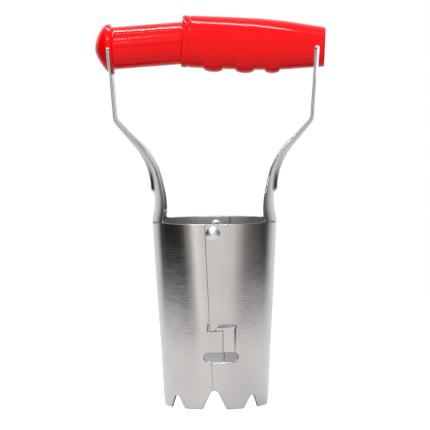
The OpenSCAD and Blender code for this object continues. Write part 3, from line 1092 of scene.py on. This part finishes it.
@dataclass
class HandleSleeve(HandleHalf):
    """The outer half of the handle, on the right arm, with its beaded mouth and finger bumps."""

    half_h: float = 14.8
    half_d: float = 13.0
    mouth_wall: float = 0.75
    mouth_full: float = 0.985
    wall: float = 1.8
    roundness: float = 0.7
    bump_h: float = 2.0
    bump_at: tuple[float, ...] = (-0.76, -0.525, -0.32)
    bump_half: tuple[float, ...] = (5.6, 5.4, 4.4)
    seat: float = 12.0
    stroke: float = 17.0
    bead_w: float = 3.4
    end_round: float = 1.1
    mouth_side: float = 1.2

    def half_depth(self, full: float) -> float:
        """Half depth of the sleeve where it has a share of its greatest half height."""
        return self.half_d * (0.45 + 0.55 * full)

    def fullness(self, x: Array) -> Array:
        """Gives the share of the greatest half height along the sleeve.

        Args:
            x: places along the sleeve.

        Returns:
            The shares.
        """
        long = self.planter.sleeve_len
        body = flowing(x, [
            (-long, 0.994), (-long * 0.88, 0.998), (-long * 0.6, 1.0), (-long * 0.42, 0.985),
            (-long * 0.24, 0.93), (-long * 0.1, 0.85), (self.planter.sleeve_end, 0.755),
        ])
        in_bead = np.clip((x + long) / self.bead_w, 0, 1)
        groove = np.exp(-(((x + long - self.bead_w - 0.4) / 0.55) ** 2))
        return body + 0.006 * np.sin(math.pi * in_bead) - 0.028 * groove

    def ring(self, x: float) -> Array:
        """Draws the sleeve's outline, with the finger bumps on its underside.

        Args:
            x: place along the sleeve.

        Returns:
            The outline.
        """
        full = float(self.fullness(np.array([x]))[0])
        unit = self.section(self.roundness)
        swell = 0.0
        for at, half in zip(self.bump_at, self.bump_half):
            d = abs(x - at * self.planter.sleeve_len) / half
            if d < 1:
                swell = max(swell, self.bump_h * math.sqrt(1 - d * d))
        low = np.where(unit[:, 1] < 0, unit[:, 1] ** 2, 0.0) * swell
        height = self.half_h * full * unit[:, 1] - low
        return np.stack([np.full(len(unit), x), self.half_depth(full) * unit[:, 0], height], axis=1)

    def bore(self, x: float) -> Array:
        """Draws the bore's outline, which is wide where the plunger slides and tighter past its stroke.

        Args:
            x: place along the sleeve.

        Returns:
            The outline.
        """
        long = self.planter.sleeve_len
        unit = self.section(self.roundness)
        mouth = self.mouth_full
        wide = (self.half_depth(mouth) - self.mouth_side, self.half_h * mouth - self.mouth_wall)
        full = float(self.fullness(np.array([x]))[0])
        tight = (self.half_depth(full) - self.wall, self.half_h * full - self.wall)
        t = float(ease(np.array([(x + long - self.stroke) / 12]))[0])
        depth, height = (min(a, a * (1 - t) + b * t) for a, b in zip(wide, tight))
        return np.stack([np.full(len(unit), x), depth * unit[:, 0], height * unit[:, 1]], axis=1)

    def build(self, finish: bpy.types.Material) -> bpy.types.Object:
        """Moulds the sleeve from the bottom of its bore round its mouth to its end.

        Args:
            finish: the handle's material.

        Returns:
            The sleeve.
        """
        long, end = self.planter.sleeve_len, self.planter.sleeve_end
        rings = [self.bore(-self.seat) * [1, k, k] for k in (0.05, 0.6, 0.97)]
        rings += [self.bore(x) for x in np.linspace(-self.seat - 0.3, -long + 0.5, 40)]
        inner, outer = self.bore(-long + 0.25), self.ring(-long + 0.6)
        for t in np.linspace(0, 1, 9):
            mix = inner * (1 - t) + outer * t
            mix[:, 0] = -long + 0.45 * (2 * t - 1) ** 2
            rings.append(mix)
        edge = self.end_round
        spots = [(share * long, half) for share, half in zip(self.bump_at, self.bump_half)]
        bumps = [at + half * math.cos(k) for at, half in spots for k in np.linspace(0, math.pi, 25)]
        run = np.concatenate([np.arange(-long + 0.8, -long + 6, 0.3), np.arange(-long + 6, end - edge, 1.2)])
        plain = [x for x in run if not any(abs(x - at) < half for at, half in spots)]
        rings += [self.ring(x) for x in np.unique(np.round(np.concatenate([plain, bumps]), 3))]
        for a in np.radians(np.linspace(0, 90, 8)):
            shrink = 1 - edge * (1 - math.cos(a)) / self.half_d
            rings.append(self.ring(end - edge) * [1, shrink, shrink] + [edge * math.sin(a), 0, 0])
        last = rings[-1]
        rings += [last * [1, k, k] for k in (0.92, 0.6, 0.1)]
        corners, faces = lofted(self.planter.in_handle(np.array(rings), Side.RIGHT))
        sleeve = mesh_object("moulded_sleeve", corners, faces)
        self.cut_arm_slot(sleeve, Side.RIGHT)
        self.hung(sleeve, Side.RIGHT, "handle_sleeve", finish)
        return sleeve


@dataclass
class HandlePlunger(HandleHalf):
    """The inner half of the handle, on the left arm: a ribbed body with a domed cap."""

    half_h: float = 12.0
    half_d: float = 11.3
    cap_lip: float = 1.2
    inside: float = 27.0
    roundness: float = 0.8
    dome_deep: float = 8.0
    dome_low: float = 5.0
    dome_high: float = 2.4
    bore_r: float = 8.0
    seat_inset: float = 10.0
    rail_h: float = 0.25
    rail_at: tuple[tuple[float, float], ...] = ((0.86, 0.68), (0.26, 0.08))
    rail_edge: float = 0.018
    points_round: int = 224
    step_len: float = 4.0
    cap_over: tuple[float, float] = (1.4, 1.75)
    rim_round: float = 0.5

    def ring(self, x: float, depth: float, height: float, rails: float = 0.0, lip: float = 0.0) -> Array:
        """The plunger's outline at a place along it.

        Args:
            x: place along the plunger.
            depth: half depth.
            height: half height.
            rails: how much of the rails' height shows, from 0 to 1.
            lip: how much further the outline reaches below than above.

        Returns:
            The outline.
        """
        unit = self.section(self.roundness)
        lift = np.zeros(len(unit))
        soft = 2 * self.rail_edge
        for high, low in self.rail_at:
            lift += ease((high - unit[:, 1]) / soft + 0.5) * ease((unit[:, 1] - low) / soft + 0.5)
        out = 1 + rails * self.rail_h * lift / depth
        tall = np.where(unit[:, 1] < 0, height + lip, height)
        return np.stack([np.full(len(unit), x), depth * unit[:, 0] * out, tall * unit[:, 1]], axis=1)

    def dome(self, angle: float, depth: float, height: float) -> Array:
        """One ring of the cap's dome, which is fullest above its middle.

        Args:
            angle: from its rim, in radians.
            depth: half depth of the rim.
            height: half height of the rim.

        Returns:
            The ring.
        """
        unit = self.section(self.roundness)
        v = unit[:, 1] * math.cos(angle)
        fall_low, fall_high = np.maximum(0, -v) ** 1.5, np.maximum(0, v) ** 1.5
        full = self.dome_deep - self.dome_low * fall_low - self.dome_high * fall_high
        tall = np.where(v < 0, height + self.cap_lip, height)
        return np.stack([full * math.sin(angle), depth * unit[:, 0] * math.cos(angle), tall * v], axis=1)

    def bore(self, x: float, share: float = 1.0) -> Array:
        """Draws a round ring of the spring's bore.

        Args:
            x: place along the plunger.
            share: share of the bore's radius.

        Returns:
            The ring.
        """
        unit = self.section(self.roundness)
        unit /= np.linalg.norm(unit, axis=1, keepdims=True)
        return np.stack([np.full(len(unit), x), *(self.bore_r * share * unit.T)], axis=1)

    def build(self, finish: bpy.types.Material) -> bpy.types.Object:
        """Moulds the plunger from the bottom of its bore round its hidden end to its dome.

        Args:
            finish: the handle's material.

        Returns:
            The plunger.
        """
        bare = self.planter.bare_len
        far, shoulder = -bare - self.inside, -bare - self.step_len
        rings = [self.bore(-self.seat_inset, k) for k in (0.05, 0.97)]
        rings += [self.bore(x) for x in np.linspace(-self.seat_inset - 0.2, far + 0.2, 10)]
        d, h = self.half_d, self.half_h
        rings += [self.ring(far, d - 1.5, h - 2.3), self.ring(far + 0.2, d - 1.15, h - 1.95),
                  self.ring(far + 0.6, d - 1, h - 1.8)]
        # the hidden end is slimmer than the part that shows, and widens a little towards the shoulder
        for x in np.linspace(far + 3, shoulder - 2, 5):
            rings.append(self.ring(x, d - 1, h - 1.8 + 0.6 * (x - far) / (shoulder - far)))
        rings += [self.ring(shoulder - 0.6, d - 0.4, h - 0.5), self.ring(shoulder, d, h)]
        for x in np.linspace(shoulder + 1, -2.35, 30):
            rings.append(self.ring(x, d, h, float(ease(np.array([(x - shoulder) / self.step_len]))[0])))
        cap_d, cap_h, lip, rim = d + self.cap_over[0], h + self.cap_over[1], self.cap_lip, self.rim_round
        rings.append(self.ring(-2.15, d + 0.15, h + 0.15, 1.0))
        rings.append(self.ring(-2.02, d + 0.5, h + 0.6, lip=lip * 0.5))
        for a in np.radians(np.linspace(0, 90, 6)):
            grown = rim * math.sin(a) - rim
            rings.append(self.ring(-1.5 - rim * math.cos(a), cap_d + grown, cap_h + grown, lip=lip))
        rings += [self.ring(x, cap_d, cap_h, lip=lip) for x in (-1.0, -0.4)]
        rings += [self.dome(math.radians(a), cap_d, cap_h) for a in np.linspace(0, 88, 36)]
        corners, faces = lofted(self.planter.in_handle(np.array(rings), Side.LEFT))
        plunger = mesh_object("moulded_plunger", corners, [f[::-1] for f in faces])
        self.cut_arm_slot(plunger, Side.LEFT)
        self.hung(plunger, Side.LEFT, "handle_plunger", finish)
        return plunger


# ---- Spring ----


@dataclass
class ReturnSpring:
    """The coil inside the handle that pushes its halves apart."""

    planter: Planter
    coil_r: float = 4.3
    wire_r: float = 0.6
    turns: int = 13
    plunger_seat: float = 10.0
    sleeve_seat: float = 12.0
    seat_gap: float = 0.3
    end_pitch: float = 1.15
    points_a_turn: int = 28
    points_round: int = 12

    def build(self, finish: bpy.types.Material) -> bpy.types.Object:
        """Winds the wire along the bent line from one handle half's seat to the other's.

        Args:
            finish: the wire's material.

        Returns:
            The coil.
        """
        p = self.planter
        x0 = -p.handle_x + self.plunger_seat + self.wire_r + self.seat_gap
        x1 = p.handle_x - self.sleeve_seat - self.wire_r - self.seat_gap
        closed = self.end_pitch * 2 * self.wire_r / (x1 - x0)
        leave, arrive = math.tan(math.radians(p.plunger_tilt)), math.tan(math.radians(p.sleeve_tilt))
        seat_z = p.plunger_z + (x0 + p.handle_x) * leave
        fixed_z = p.sleeve_z + (p.handle_x - x1) * arrive
        carrier = mesh_object("wound_return_spring", np.zeros((1, 3)), [])
        tree = bpy.data.node_groups.new("coil_between_seats", "GeometryNodeTree")
        sizes = {
            "Turns": float(self.turns), "Coil Radius": self.coil_r * MM, "Wire Radius": self.wire_r * MM,
            "Start X": x0 * MM, "End X": x1 * MM, "End Turn Share": closed,
            "Start Height": seat_z * MM, "End Height": fixed_z * MM,
            "Leaving Rise": (x1 - x0) * leave * MM, "Arriving Fall": (x1 - x0) * arrive * MM,
        }
        face = tree.interface
        sockets = {n: face.new_socket(n, in_out="INPUT", socket_type="NodeSocketFloat") for n in sizes}
        sockets["Finish"] = face.new_socket("Finish", in_out="INPUT", socket_type="NodeSocketMaterial")
        face.new_socket("Geometry", in_out="OUTPUT", socket_type="NodeSocketGeometry")
        given = add(tree, "NodeGroupInput").outputs
        wire = add(tree, "GeometryNodeCurvePrimitiveLine", {"End": (1.0, 0.0, 0.0)})
        many = add(tree, "GeometryNodeResampleCurve", {
            "Curve": wire.outputs[0], "Count": self.turns * self.points_a_turn + 1})
        value = {n: given[n] for n in sizes}
        value["share"] = add(tree, "GeometryNodeSplineParameter").outputs["Factor"]
        # each line is a step of arithmetic: what it gives, the operation, and names or numbers to work on
        for name, operation, *terms in (
            # the first and last turns are closed, and the others are spread over what is left
            ("turn", "MULTIPLY", "share", "Turns"),
            ("open turns", "SUBTRACT", "Turns", 2.0),
            ("both ends", "MULTIPLY", "End Turn Share", 2.0),
            ("open share", "SUBTRACT", 1.0, "both ends"),
            ("in first", "MINIMUM", "turn", 1.0),
            ("first", "MULTIPLY", "in first", "End Turn Share"),
            ("past first", "SUBTRACT", "turn", 1.0),
            ("past first", "MAXIMUM", "past first", 0.0),
            ("in middle", "MINIMUM", "past first", "open turns"),
            ("middle", "DIVIDE", "in middle", "open turns"),
            ("middle", "MULTIPLY", "middle", "open share"),
            ("last start", "SUBTRACT", "Turns", 1.0),
            ("in last", "SUBTRACT", "turn", "last start"),
            ("in last", "MAXIMUM", "in last", 0.0),
            ("last", "MULTIPLY", "in last", "End Turn Share"),
            ("along", "ADD", "first", "middle"),
            ("along", "ADD", "along", "last"),
            ("length", "SUBTRACT", "End X", "Start X"),
            ("x", "MULTIPLY_ADD", "along", "length", "Start X"),
            # the coil's middle leaves each seat in line with that half of the handle
            ("left", "SUBTRACT", 1.0, "along"),
            ("near start", "MULTIPLY_ADD", "along", 2.0, 1.0),
            ("start seat", "MULTIPLY", "near start", "Start Height"),
            ("start pull", "MULTIPLY_ADD", "along", "Leaving Rise", "start seat"),
            ("left squared", "MULTIPLY", "left", "left"),
            ("level", "MULTIPLY_ADD", "left squared", "start pull", 0.0),
            ("near end", "MULTIPLY_ADD", "left", 2.0, 1.0),
            ("end seat", "MULTIPLY", "near end", "End Height"),
            ("end pull", "MULTIPLY_ADD", "left", "Arriving Fall", "end seat"),
            ("along squared", "MULTIPLY", "along", "along"),
            ("level", "MULTIPLY_ADD", "along squared", "end pull", "level"),
            ("angle", "MULTIPLY", "turn", 2 * math.pi),
            ("cosine", "COSINE", "angle"),
            ("y", "MULTIPLY", "cosine", "Coil Radius"),
            ("sine", "SINE", "angle"),
            ("z", "MULTIPLY_ADD", "sine", "Coil Radius", "level"),
        ):
            inputs = {i: value[term] if isinstance(term, str) else term for i, term in enumerate(terms)}
            value[name] = add(tree, "ShaderNodeMath", inputs, operation=operation).outputs[0]
        place = add(tree, "ShaderNodeCombineXYZ", {axis.upper(): value[axis] for axis in "xyz"})
        coil = add(tree, "GeometryNodeSetPosition", {
            "Geometry": many.outputs[0], "Position": place.outputs[0]})
        ring = add(tree, "GeometryNodeCurvePrimitiveCircle", {
            "Resolution": self.points_round, "Radius": value["Wire Radius"]})
        solid = add(tree, "GeometryNodeCurveToMesh", {
            "Curve": coil.outputs[0], "Profile Curve": ring.outputs[0], "Fill Caps": True})
        smooth = add(tree, "GeometryNodeSetShadeSmooth", {"Geometry": solid.outputs[0]})
        whole = add(tree, "GeometryNodeRealizeInstances", {"Geometry": smooth.outputs[0]})
        dressed = add(tree, "GeometryNodeSetMaterial", {
            "Geometry": whole.outputs[0], "Material": given["Finish"]})
        add(tree, "NodeGroupOutput", {"Geometry": dressed.outputs[0]})
        modifier = carrier.modifiers.new("coil", "NODES")
        modifier.node_group = tree
        for name, size in sizes.items():
            modifier[sockets[name].identifier] = size
        modifier[sockets["Finish"].identifier] = finish
        baked(carrier)
        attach(carrier, Side.RIGHT.body)
        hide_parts("return_spring")
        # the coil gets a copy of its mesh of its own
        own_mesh(carrier)
        return carrier


# ---- Finishes ----


@dataclass(frozen=True)
class BrightNickelPlate:
    """Cold-rolled steel sheet, pressed and nickel plated.

    To the eye it is a mirror whose reflections are drawn out by the rolling lines, and a little wavy.
    Real rolling lines are under 0.1 mm apart, and these are 0.6 mm apart so that they show.
    """

    tone: str = "#cdc9c5"
    shade: str = "#bcbaba"
    inner_tone: str = "#b9b9bc"
    # painted light: the inside is drawn nearly white low down, fading out between the two heights below
    painted_light_inner_tone: str = "#f6f6f8"
    painted_light_z: tuple[float, float] = (45.0, 85.0)
    # painted shade: the cut edges and the arms' rounded corners get this dark tone, for the shade in the
    # seam, round the window and along the arms
    edge_shade_tone: str = "#5e5e62"
    line_spacing: float = 0.6
    line_length: float = 14.0
    cloud_size: float = 22.0
    roughness: tuple[float, float] = (0.09, 0.2)
    inner_roughness: float = 0.42
    cut_roughness: float = 0.4
    polished_roughness: float = 0.14
    line_share: float = 0.6
    brushed: tuple[float, float] = (0.35, 0.04)
    rolled: tuple[float, float] = (0.35, 0.05)
    line_depth: float = 0.04
    wave_depth: float = 0.4
    drawn_out: float = 0.35

    def make(self) -> bpy.types.Material:
        """Makes the material from the blank's own flat coordinates.

        Returns:
            The material.
        """
        material = empty_material("bright_nickel_plated_sheet")
        tree = material.node_tree
        blank = add(tree, "ShaderNodeUVMap", uv_map="blank").outputs["UV"]
        where = add(tree, "ShaderNodeTexCoord").outputs["Object"]
        lines_at = add(tree, "ShaderNodeMapping", {
            "Vector": blank, "Scale": (1 / (self.line_length * MM), 1 / (self.line_spacing * MM), 1)})
        lines = add(tree, "ShaderNodeTexNoise", {
            "Vector": lines_at.outputs[0], "Scale": 1.0, "Detail": 4.0, "Roughness": 0.6,
        }, noise_dimensions="2D").outputs[0]
        clouds = add(tree, "ShaderNodeTexNoise", {
            "Vector": where, "Scale": 1 / (self.cloud_size * MM), "Detail": 3.0}).outputs[0]
        cut, inner, polished = (
            add(tree, "ShaderNodeAttribute", attribute_name=name).outputs["Fac"]
            for name in ("cut_edge", "inner_face", "polished")
        )
        plated = add(tree, "ShaderNodeMix", {
            "Factor": clouds, 6: linear(self.tone), 7: linear(self.shade)}, data_type="RGBA").outputs[2]
        # the inside was not polished before plating, so it is duller, and it is painted brighter low down:
        # painted light from below
        height = add(tree, "ShaderNodeSeparateXYZ", {0: where}).outputs["Z"]
        painted_light_fade = add(tree, "ShaderNodeMapRange", {
            "Value": height, "From Min": self.painted_light_z[0] * MM, "From Max": self.painted_light_z[1] * MM,
        }).outputs[0]
        lining_with_painted_light = add(tree, "ShaderNodeMix", {
            "Factor": painted_light_fade, 6: linear(self.painted_light_inner_tone), 7: linear(self.inner_tone),
        }, data_type="RGBA").outputs[2]
        lined = add(tree, "ShaderNodeMix", {
            "Factor": inner, 6: plated, 7: lining_with_painted_light}, data_type="RGBA").outputs[2]
        # the edges are painted dark here: painted shade
        edged = add(tree, "ShaderNodeMix", {
            "Factor": cut, 6: lined, 7: linear(self.edge_shade_tone)}, data_type="RGBA").outputs[2]
        # the gloss changes a little from line to line, and is lost on cut edges and inside
        cloudy = add(tree, "ShaderNodeMath", {
            0: clouds, 1: 1 - self.line_share}, operation="MULTIPLY").outputs[0]
        uneven = add(tree, "ShaderNodeMath", {
            0: lines, 1: self.line_share, 2: cloudy}, operation="MULTIPLY_ADD").outputs[0]
        rough = add(tree, "ShaderNodeMapRange", {
            "Value": uneven, "From Min": 0.3, "From Max": 0.7,
            "To Min": self.roughness[0], "To Max": self.roughness[1],
        }).outputs[0]
        for mark, there in (
            (inner, self.inner_roughness), (cut, self.cut_roughness), (polished, self.polished_roughness),
        ):
            rough = add(tree, "ShaderNodeMix", {"Factor": mark, 2: rough, 3: there}).outputs[0]
        # the lines and the waves of the rolled sheet were polished off the arms
        relief = None
        for pattern, strength, depth in (
            (lines, self.brushed, self.line_depth), (clouds, self.rolled, self.wave_depth),
        ):
            left = add(tree, "ShaderNodeMapRange", {
                "Value": polished, "To Min": strength[0], "To Max": strength[1]}).outputs[0]
            under = {"Normal": relief} if relief else {}
            relief = add(tree, "ShaderNodeBump", {
                "Height": pattern, "Strength": left, "Distance": depth * MM, **under}).outputs[0]
        tangent = add(tree, "ShaderNodeTangent", direction_type="UV_MAP", uv_map="blank").outputs[0]
        shader = add(tree, "ShaderNodeBsdfPrincipled", {
            "Base Color": edged, "Metallic": 1.0, "Roughness": rough, "Anisotropic": self.drawn_out,
            "Normal": relief, "Tangent": tangent,
        })
        add(tree, "ShaderNodeOutputMaterial", {"Surface": shader.outputs[0]})
        return material


@dataclass(frozen=True)
class DrawnSteel:
    """Cold-formed steel, for the rivets plated and for the spring bare.

    To the eye it is a softer mirror than the sheet, dulled by a fine tumbled grain. The real grain is
    far under a millimetre, and is drawn coarser so that it shows.
    """

    name: str
    tone: str
    shade: str
    grain_size: float
    roughness: tuple[float, float]

    grain_depth: float = 0.05

    def make(self) -> bpy.types.Material:
        """Makes the material with its grain.

        Returns:
            The material.
        """
        material = empty_material(self.name)
        tree = material.node_tree
        where = add(tree, "ShaderNodeTexCoord").outputs["Object"]
        grain = add(tree, "ShaderNodeTexNoise", {
            "Vector": where, "Scale": 1 / (self.grain_size * MM), "Detail": 3.0}).outputs[0]
        tone = add(tree, "ShaderNodeMix", {
            "Factor": grain, 6: linear(self.tone), 7: linear(self.shade)}, data_type="RGBA").outputs[2]
        rough = add(tree, "ShaderNodeMapRange", {
            "Value": grain, "From Min": 0.3, "From Max": 0.7,
            "To Min": self.roughness[0], "To Max": self.roughness[1],
        }).outputs[0]
        bump = add(tree, "ShaderNodeBump", {
            "Height": grain, "Strength": 0.25, "Distance": self.grain_depth * MM}).outputs[0]
        shader = add(tree, "ShaderNodeBsdfPrincipled", {
            "Base Color": tone, "Metallic": 1.0, "Roughness": rough, "Normal": bump})
        add(tree, "ShaderNodeOutputMaterial", {"Surface": shader.outputs[0]})
        return material


@dataclass(frozen=True)
class MouldedPolypropylene:
    """Injection-moulded polypropylene, pigmented red through and through.

    To the eye it is a deep, even red under a thin gloss, with slow sink waves and soft handling marks.
    """

    tone: str = "#ee000a"
    deep: str = "#e20006"
    wave_size: float = 9.0
    mark_size: float = 1.6
    roughness: tuple[float, float] = (0.14, 0.26)
    mark_depth: float = 0.05
    sink_depth: float = 0.3
    ior: float = 1.49
    specular: float = 0.04
    gloss: float = 0.28
    gloss_roughness: float = 0.04

    def make(self) -> bpy.types.Material:
        """Makes the material, with its waves and marks drawn out along the handle.

        Returns:
            The material.
        """
        material = empty_material("injection_moulded_red_polypropylene")
        tree = material.node_tree
        where = add(tree, "ShaderNodeTexCoord").outputs["Object"]
        stretched = add(tree, "ShaderNodeMapping", {"Vector": where, "Scale": (0.35, 1.0, 1.0)}).outputs[0]
        wave = add(tree, "ShaderNodeTexNoise", {
            "Vector": stretched, "Scale": 1 / (self.wave_size * MM), "Detail": 2.0}).outputs[0]
        marks = add(tree, "ShaderNodeTexNoise", {
            "Vector": stretched, "Scale": 1 / (self.mark_size * MM), "Detail": 4.0}).outputs[0]
        tone = add(tree, "ShaderNodeMix", {
            "Factor": wave, 6: linear(self.tone), 7: linear(self.deep)}, data_type="RGBA").outputs[2]
        rough = add(tree, "ShaderNodeMapRange", {
            "Value": marks, "From Min": 0.35, "From Max": 0.75,
            "To Min": self.roughness[0], "To Max": self.roughness[1],
        }).outputs[0]
        fine = add(tree, "ShaderNodeBump", {
            "Height": marks, "Strength": 0.1, "Distance": self.mark_depth * MM}).outputs[0]
        sink = add(tree, "ShaderNodeBump", {
            "Height": wave, "Strength": 0.3, "Distance": self.sink_depth * MM, "Normal": fine}).outputs[0]
        shader = add(tree, "ShaderNodeBsdfPrincipled", {
            "Base Color": tone, "Roughness": rough, "Normal": sink, "IOR": self.ior,
            "Specular IOR Level": self.specular, "Coat Weight": self.gloss,
            "Coat Roughness": self.gloss_roughness,
        })
        add(tree, "ShaderNodeOutputMaterial", {"Surface": shader.outputs[0]})
        return material


# ---- Studio ----


@dataclass
class Studio:
    """A pale table, soft boxes and the camera."""

    distance: float = 2.0
    azimuth: float = 2.03
    elevation: float = 4.69
    roll: float = -0.6
    lens: float = 293.7
    target: tuple[float, float, float] = (0.0003, 0.0, 0.1079)
    sky: float = 1.0
    brightest: float = 2.0
    front_tint: tuple[float, float, float] = (1.03, 0.99, 0.96)
    back_tint: tuple[float, float, float] = (0.96, 0.97, 1.04)
    boards: tuple[tuple[float, float], ...] = (
        (-180, 0.95), (-136, 0.95), (-123, 0.6), (-114, 0.09), (-92, 0.02), (-57, 0.02), (-45, 0.08),
        (-31, 0.46), (-18, 1.2), (-8, 1.15), (-3, 1.0), (23, 0.94), (37, 0.62), (51, 0.27), (66, 0.16),
        (101, 0.06), (112, 0.1), (124, 0.5), (140, 0.95), (180, 0.95),
    )
    table_r: tuple[float, float] = (0.2, 0.62)
    table_glow: float = 0.43
    table_drop: float = 0.2
    front_half: float = 100.0
    ceiling_z: tuple[float, float] = (0.5, 0.85)

    def surroundings(self) -> None:
        """Sets the light that comes from all round: pale boards with darker room between them."""
        world = bpy.data.worlds.new("studio")
        bpy.context.scene.world = world
        world.use_nodes = True
        tree = world.node_tree
        tree.nodes.clear()
        where = add(tree, "ShaderNodeTexCoord").outputs["Generated"]
        axes = add(tree, "ShaderNodeSeparateXYZ", {0: where})
        front = add(tree, "ShaderNodeMath", {0: axes.outputs["Y"], 1: -1.0}, operation="MULTIPLY").outputs[0]
        about = add(tree, "ShaderNodeMath", {0: axes.outputs["X"], 1: front}, operation="ARCTAN2").outputs[0]
        share = add(tree, "ShaderNodeMapRange", {
            "Value": about, "From Min": -math.pi, "From Max": math.pi}).outputs[0]
        boards = add(tree, "ShaderNodeValToRGB", {0: share})
        ramp = boards.color_ramp
        for i, (angle, light) in enumerate(self.boards):
            at = (angle + 180) / 360
            stop = ramp.elements[i] if i < 2 else ramp.elements.new(at)
            tint = self.front_tint if abs(angle) < self.front_half else self.back_tint
            stop.position, stop.color = at, (*(light / self.brightest * t for t in tint), 1)
        above = add(tree, "ShaderNodeMapRange", {
            "Value": axes.outputs["Z"], "From Min": self.ceiling_z[0], "From Max": self.ceiling_z[1],
        }).outputs[0]
        ceiling = (self.sky / self.brightest,) * 3 + (1.0,)
        sky = add(tree, "ShaderNodeMix", {"Factor": above, 6: boards.outputs[0], 7: ceiling},
                  data_type="RGBA").outputs[2]
        room = add(tree, "ShaderNodeBackground", {"Color": sky, "Strength": self.brightest})
        white = add(tree, "ShaderNodeBackground", {"Color": (1, 1, 1, 1), "Strength": 1.0})
        # behind the planter the room looks white, and the boards show only as light and in the plating
        seen = add(tree, "ShaderNodeLightPath").outputs["Is Camera Ray"]
        mixed = add(tree, "ShaderNodeMixShader", {0: seen, 1: room.outputs[0], 2: white.outputs[0]})
        add(tree, "ShaderNodeOutputWorld", {"Surface": mixed.outputs[0]})

    def table(self) -> None:
        """Lays the pale table top that the planter stands on."""
        reach = self.table_r[1] + 0.05
        mesh = bpy.data.meshes.new("pale_table")
        square = [(-reach, -reach, 0), (reach, -reach, 0), (reach, reach, 0), (-reach, reach, 0)]
        mesh.from_pydata(square, [], [(0, 1, 2, 3)])
        top = bpy.data.objects.new("pale_table", mesh)
        bpy.context.scene.collection.objects.link(top)
        top.location.z = -self.table_drop * MM
        material = empty_material("backlit_opal_acrylic")
        tree = material.node_tree
        where = add(tree, "ShaderNodeTexCoord").outputs["Object"]
        grain = add(tree, "ShaderNodeTexNoise", {"Vector": where, "Scale": 300.0, "Detail": 3.0}).outputs[0]
        tone = add(tree, "ShaderNodeMix", {
            "Factor": grain, 6: (0.32, 0.32, 0.32, 1), 7: (0.3, 0.3, 0.305, 1)}, data_type="RGBA").outputs[2]
        # the table looks white, shows in the plating, and lights the planter from below only a little
        path = add(tree, "ShaderNodeLightPath").outputs
        glow = add(tree, "ShaderNodeMath", {
            0: path["Is Glossy Ray"], 1: self.table_glow, 2: path["Is Camera Ray"],
        }, operation="MULTIPLY_ADD").outputs[0]
        shader = add(tree, "ShaderNodeBsdfPrincipled", {
            "Base Color": tone, "Roughness": 0.8, "Specular IOR Level": 0.1, "Emission Color": (1, 1, 1, 1),
            "Emission Strength": glow})
        # the table fades out towards its edge, so it has no horizon
        away = add(tree, "ShaderNodeVectorMath", {0: where}, operation="LENGTH").outputs["Value"]
        gone = add(tree, "ShaderNodeMapRange", {
            "Value": away, "From Min": self.table_r[0], "From Max": self.table_r[1],
        }, interpolation_type="SMOOTHSTEP").outputs[0]
        clear = add(tree, "ShaderNodeBsdfTransparent")
        mixed = add(tree, "ShaderNodeMixShader", {0: gone, 1: shader.outputs[0], 2: clear.outputs[0]})
        add(tree, "ShaderNodeOutputMaterial", {"Surface": mixed.outputs[0]})
        mesh.materials.append(material)

    def lamp(self, name: str, at: tuple[float, float, float], to: tuple[float, float, float],
             size: tuple[float, float], power: float) -> None:
        """Hangs one soft box.

        Args:
            name: its name.
            at: where it hangs.
            to: the point it faces.
            size: its width and height.
            power: its power in watts.
        """
        light = bpy.data.lights.new(name, "AREA")
        light.shape, light.size, light.size_y, light.energy = "RECTANGLE", size[0], size[1], power
        lamp = bpy.data.objects.new(name, light)
        bpy.context.scene.collection.objects.link(lamp)
        lamp.location = at
        lamp.rotation_euler = (Vector(to) - Vector(at)).to_track_quat("-Z", "Y").to_euler()

    def camera(self) -> None:
        """Stands the camera far off, slightly above and to the right of the planter."""
        data = bpy.data.cameras.new("camera")
        data.lens, data.sensor_width = self.lens, 36.0
        data.clip_start, data.clip_end = 0.05, 50.0
        cam = bpy.data.objects.new("camera", data)
        bpy.context.scene.collection.objects.link(cam)
        a, e = math.radians(self.azimuth), math.radians(self.elevation)
        ahead = Vector((-math.sin(a) * math.cos(e), math.cos(a) * math.cos(e), -math.sin(e)))
        cam.location = Vector(self.target) - ahead * self.distance
        turn = ahead.to_track_quat("-Z", "Y").to_matrix() @ Matrix.Rotation(math.radians(self.roll), 3, "Z")
        cam.rotation_euler = turn.to_euler()
        bpy.context.scene.camera = cam

    def build(self) -> None:
        """Sets up the table, the lights and the camera."""
        bpy.context.scene.view_settings.view_transform = "Standard"
        self.surroundings()
        self.table()
        self.lamp("overhead_strip", (-0.1, -0.05, 1.2), (0, 0, 0.1), (1.4, 0.1), 18.0)
        self.lamp("front_fill", (-0.5, -1.5, 1.1), (0, 0, 0.12), (0.6, 0.4), 9.0)
        self.camera()


def main() -> None:
    """Builds the planter piece by piece, then the studio round it."""
    logging.basicConfig(level=logging.INFO, format="%(name)s: %(message)s")
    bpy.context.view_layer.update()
    planter = Planter.from_frame()
    arm = ArmLine(planter)
    plate = BrightNickelPlate().make()
    rivet_steel = DrawnSteel("plated_rivet_steel", "#e2e3e6", "#c9cacf", 0.9, (0.26, 0.38)).make()
    spring_steel = DrawnSteel("drawn_spring_wire", "#b9bbc0", "#8e9096", 0.6, (0.22, 0.4)).make()
    red = MouldedPolypropylene().make()
    right = HalfShell(Side.RIGHT, planter, arm, planter.outer_r, lap_top=4.8, lap_low=0.59)
    left = HalfShell(Side.LEFT, planter, arm, planter.inner_r, lap_top=8.2, lap_low=2.6)
    for half in (right, left):
        shell = half.build()
        half.dress(shell, plate)
        log.info("%s: %d faces", shell.name, len(shell.data.polygons))
    for piece in (
        Rivets(planter).build(rivet_steel),
        HandleSleeve(planter, arm).build(red),
        HandlePlunger(planter, arm).build(red),
        ReturnSpring(planter).build(spring_steel),
    ):
        log.info("%s: %d faces", piece.name, len(piece.data.polygons))
    Studio().build()


if __name__ == "__main__":
    main()
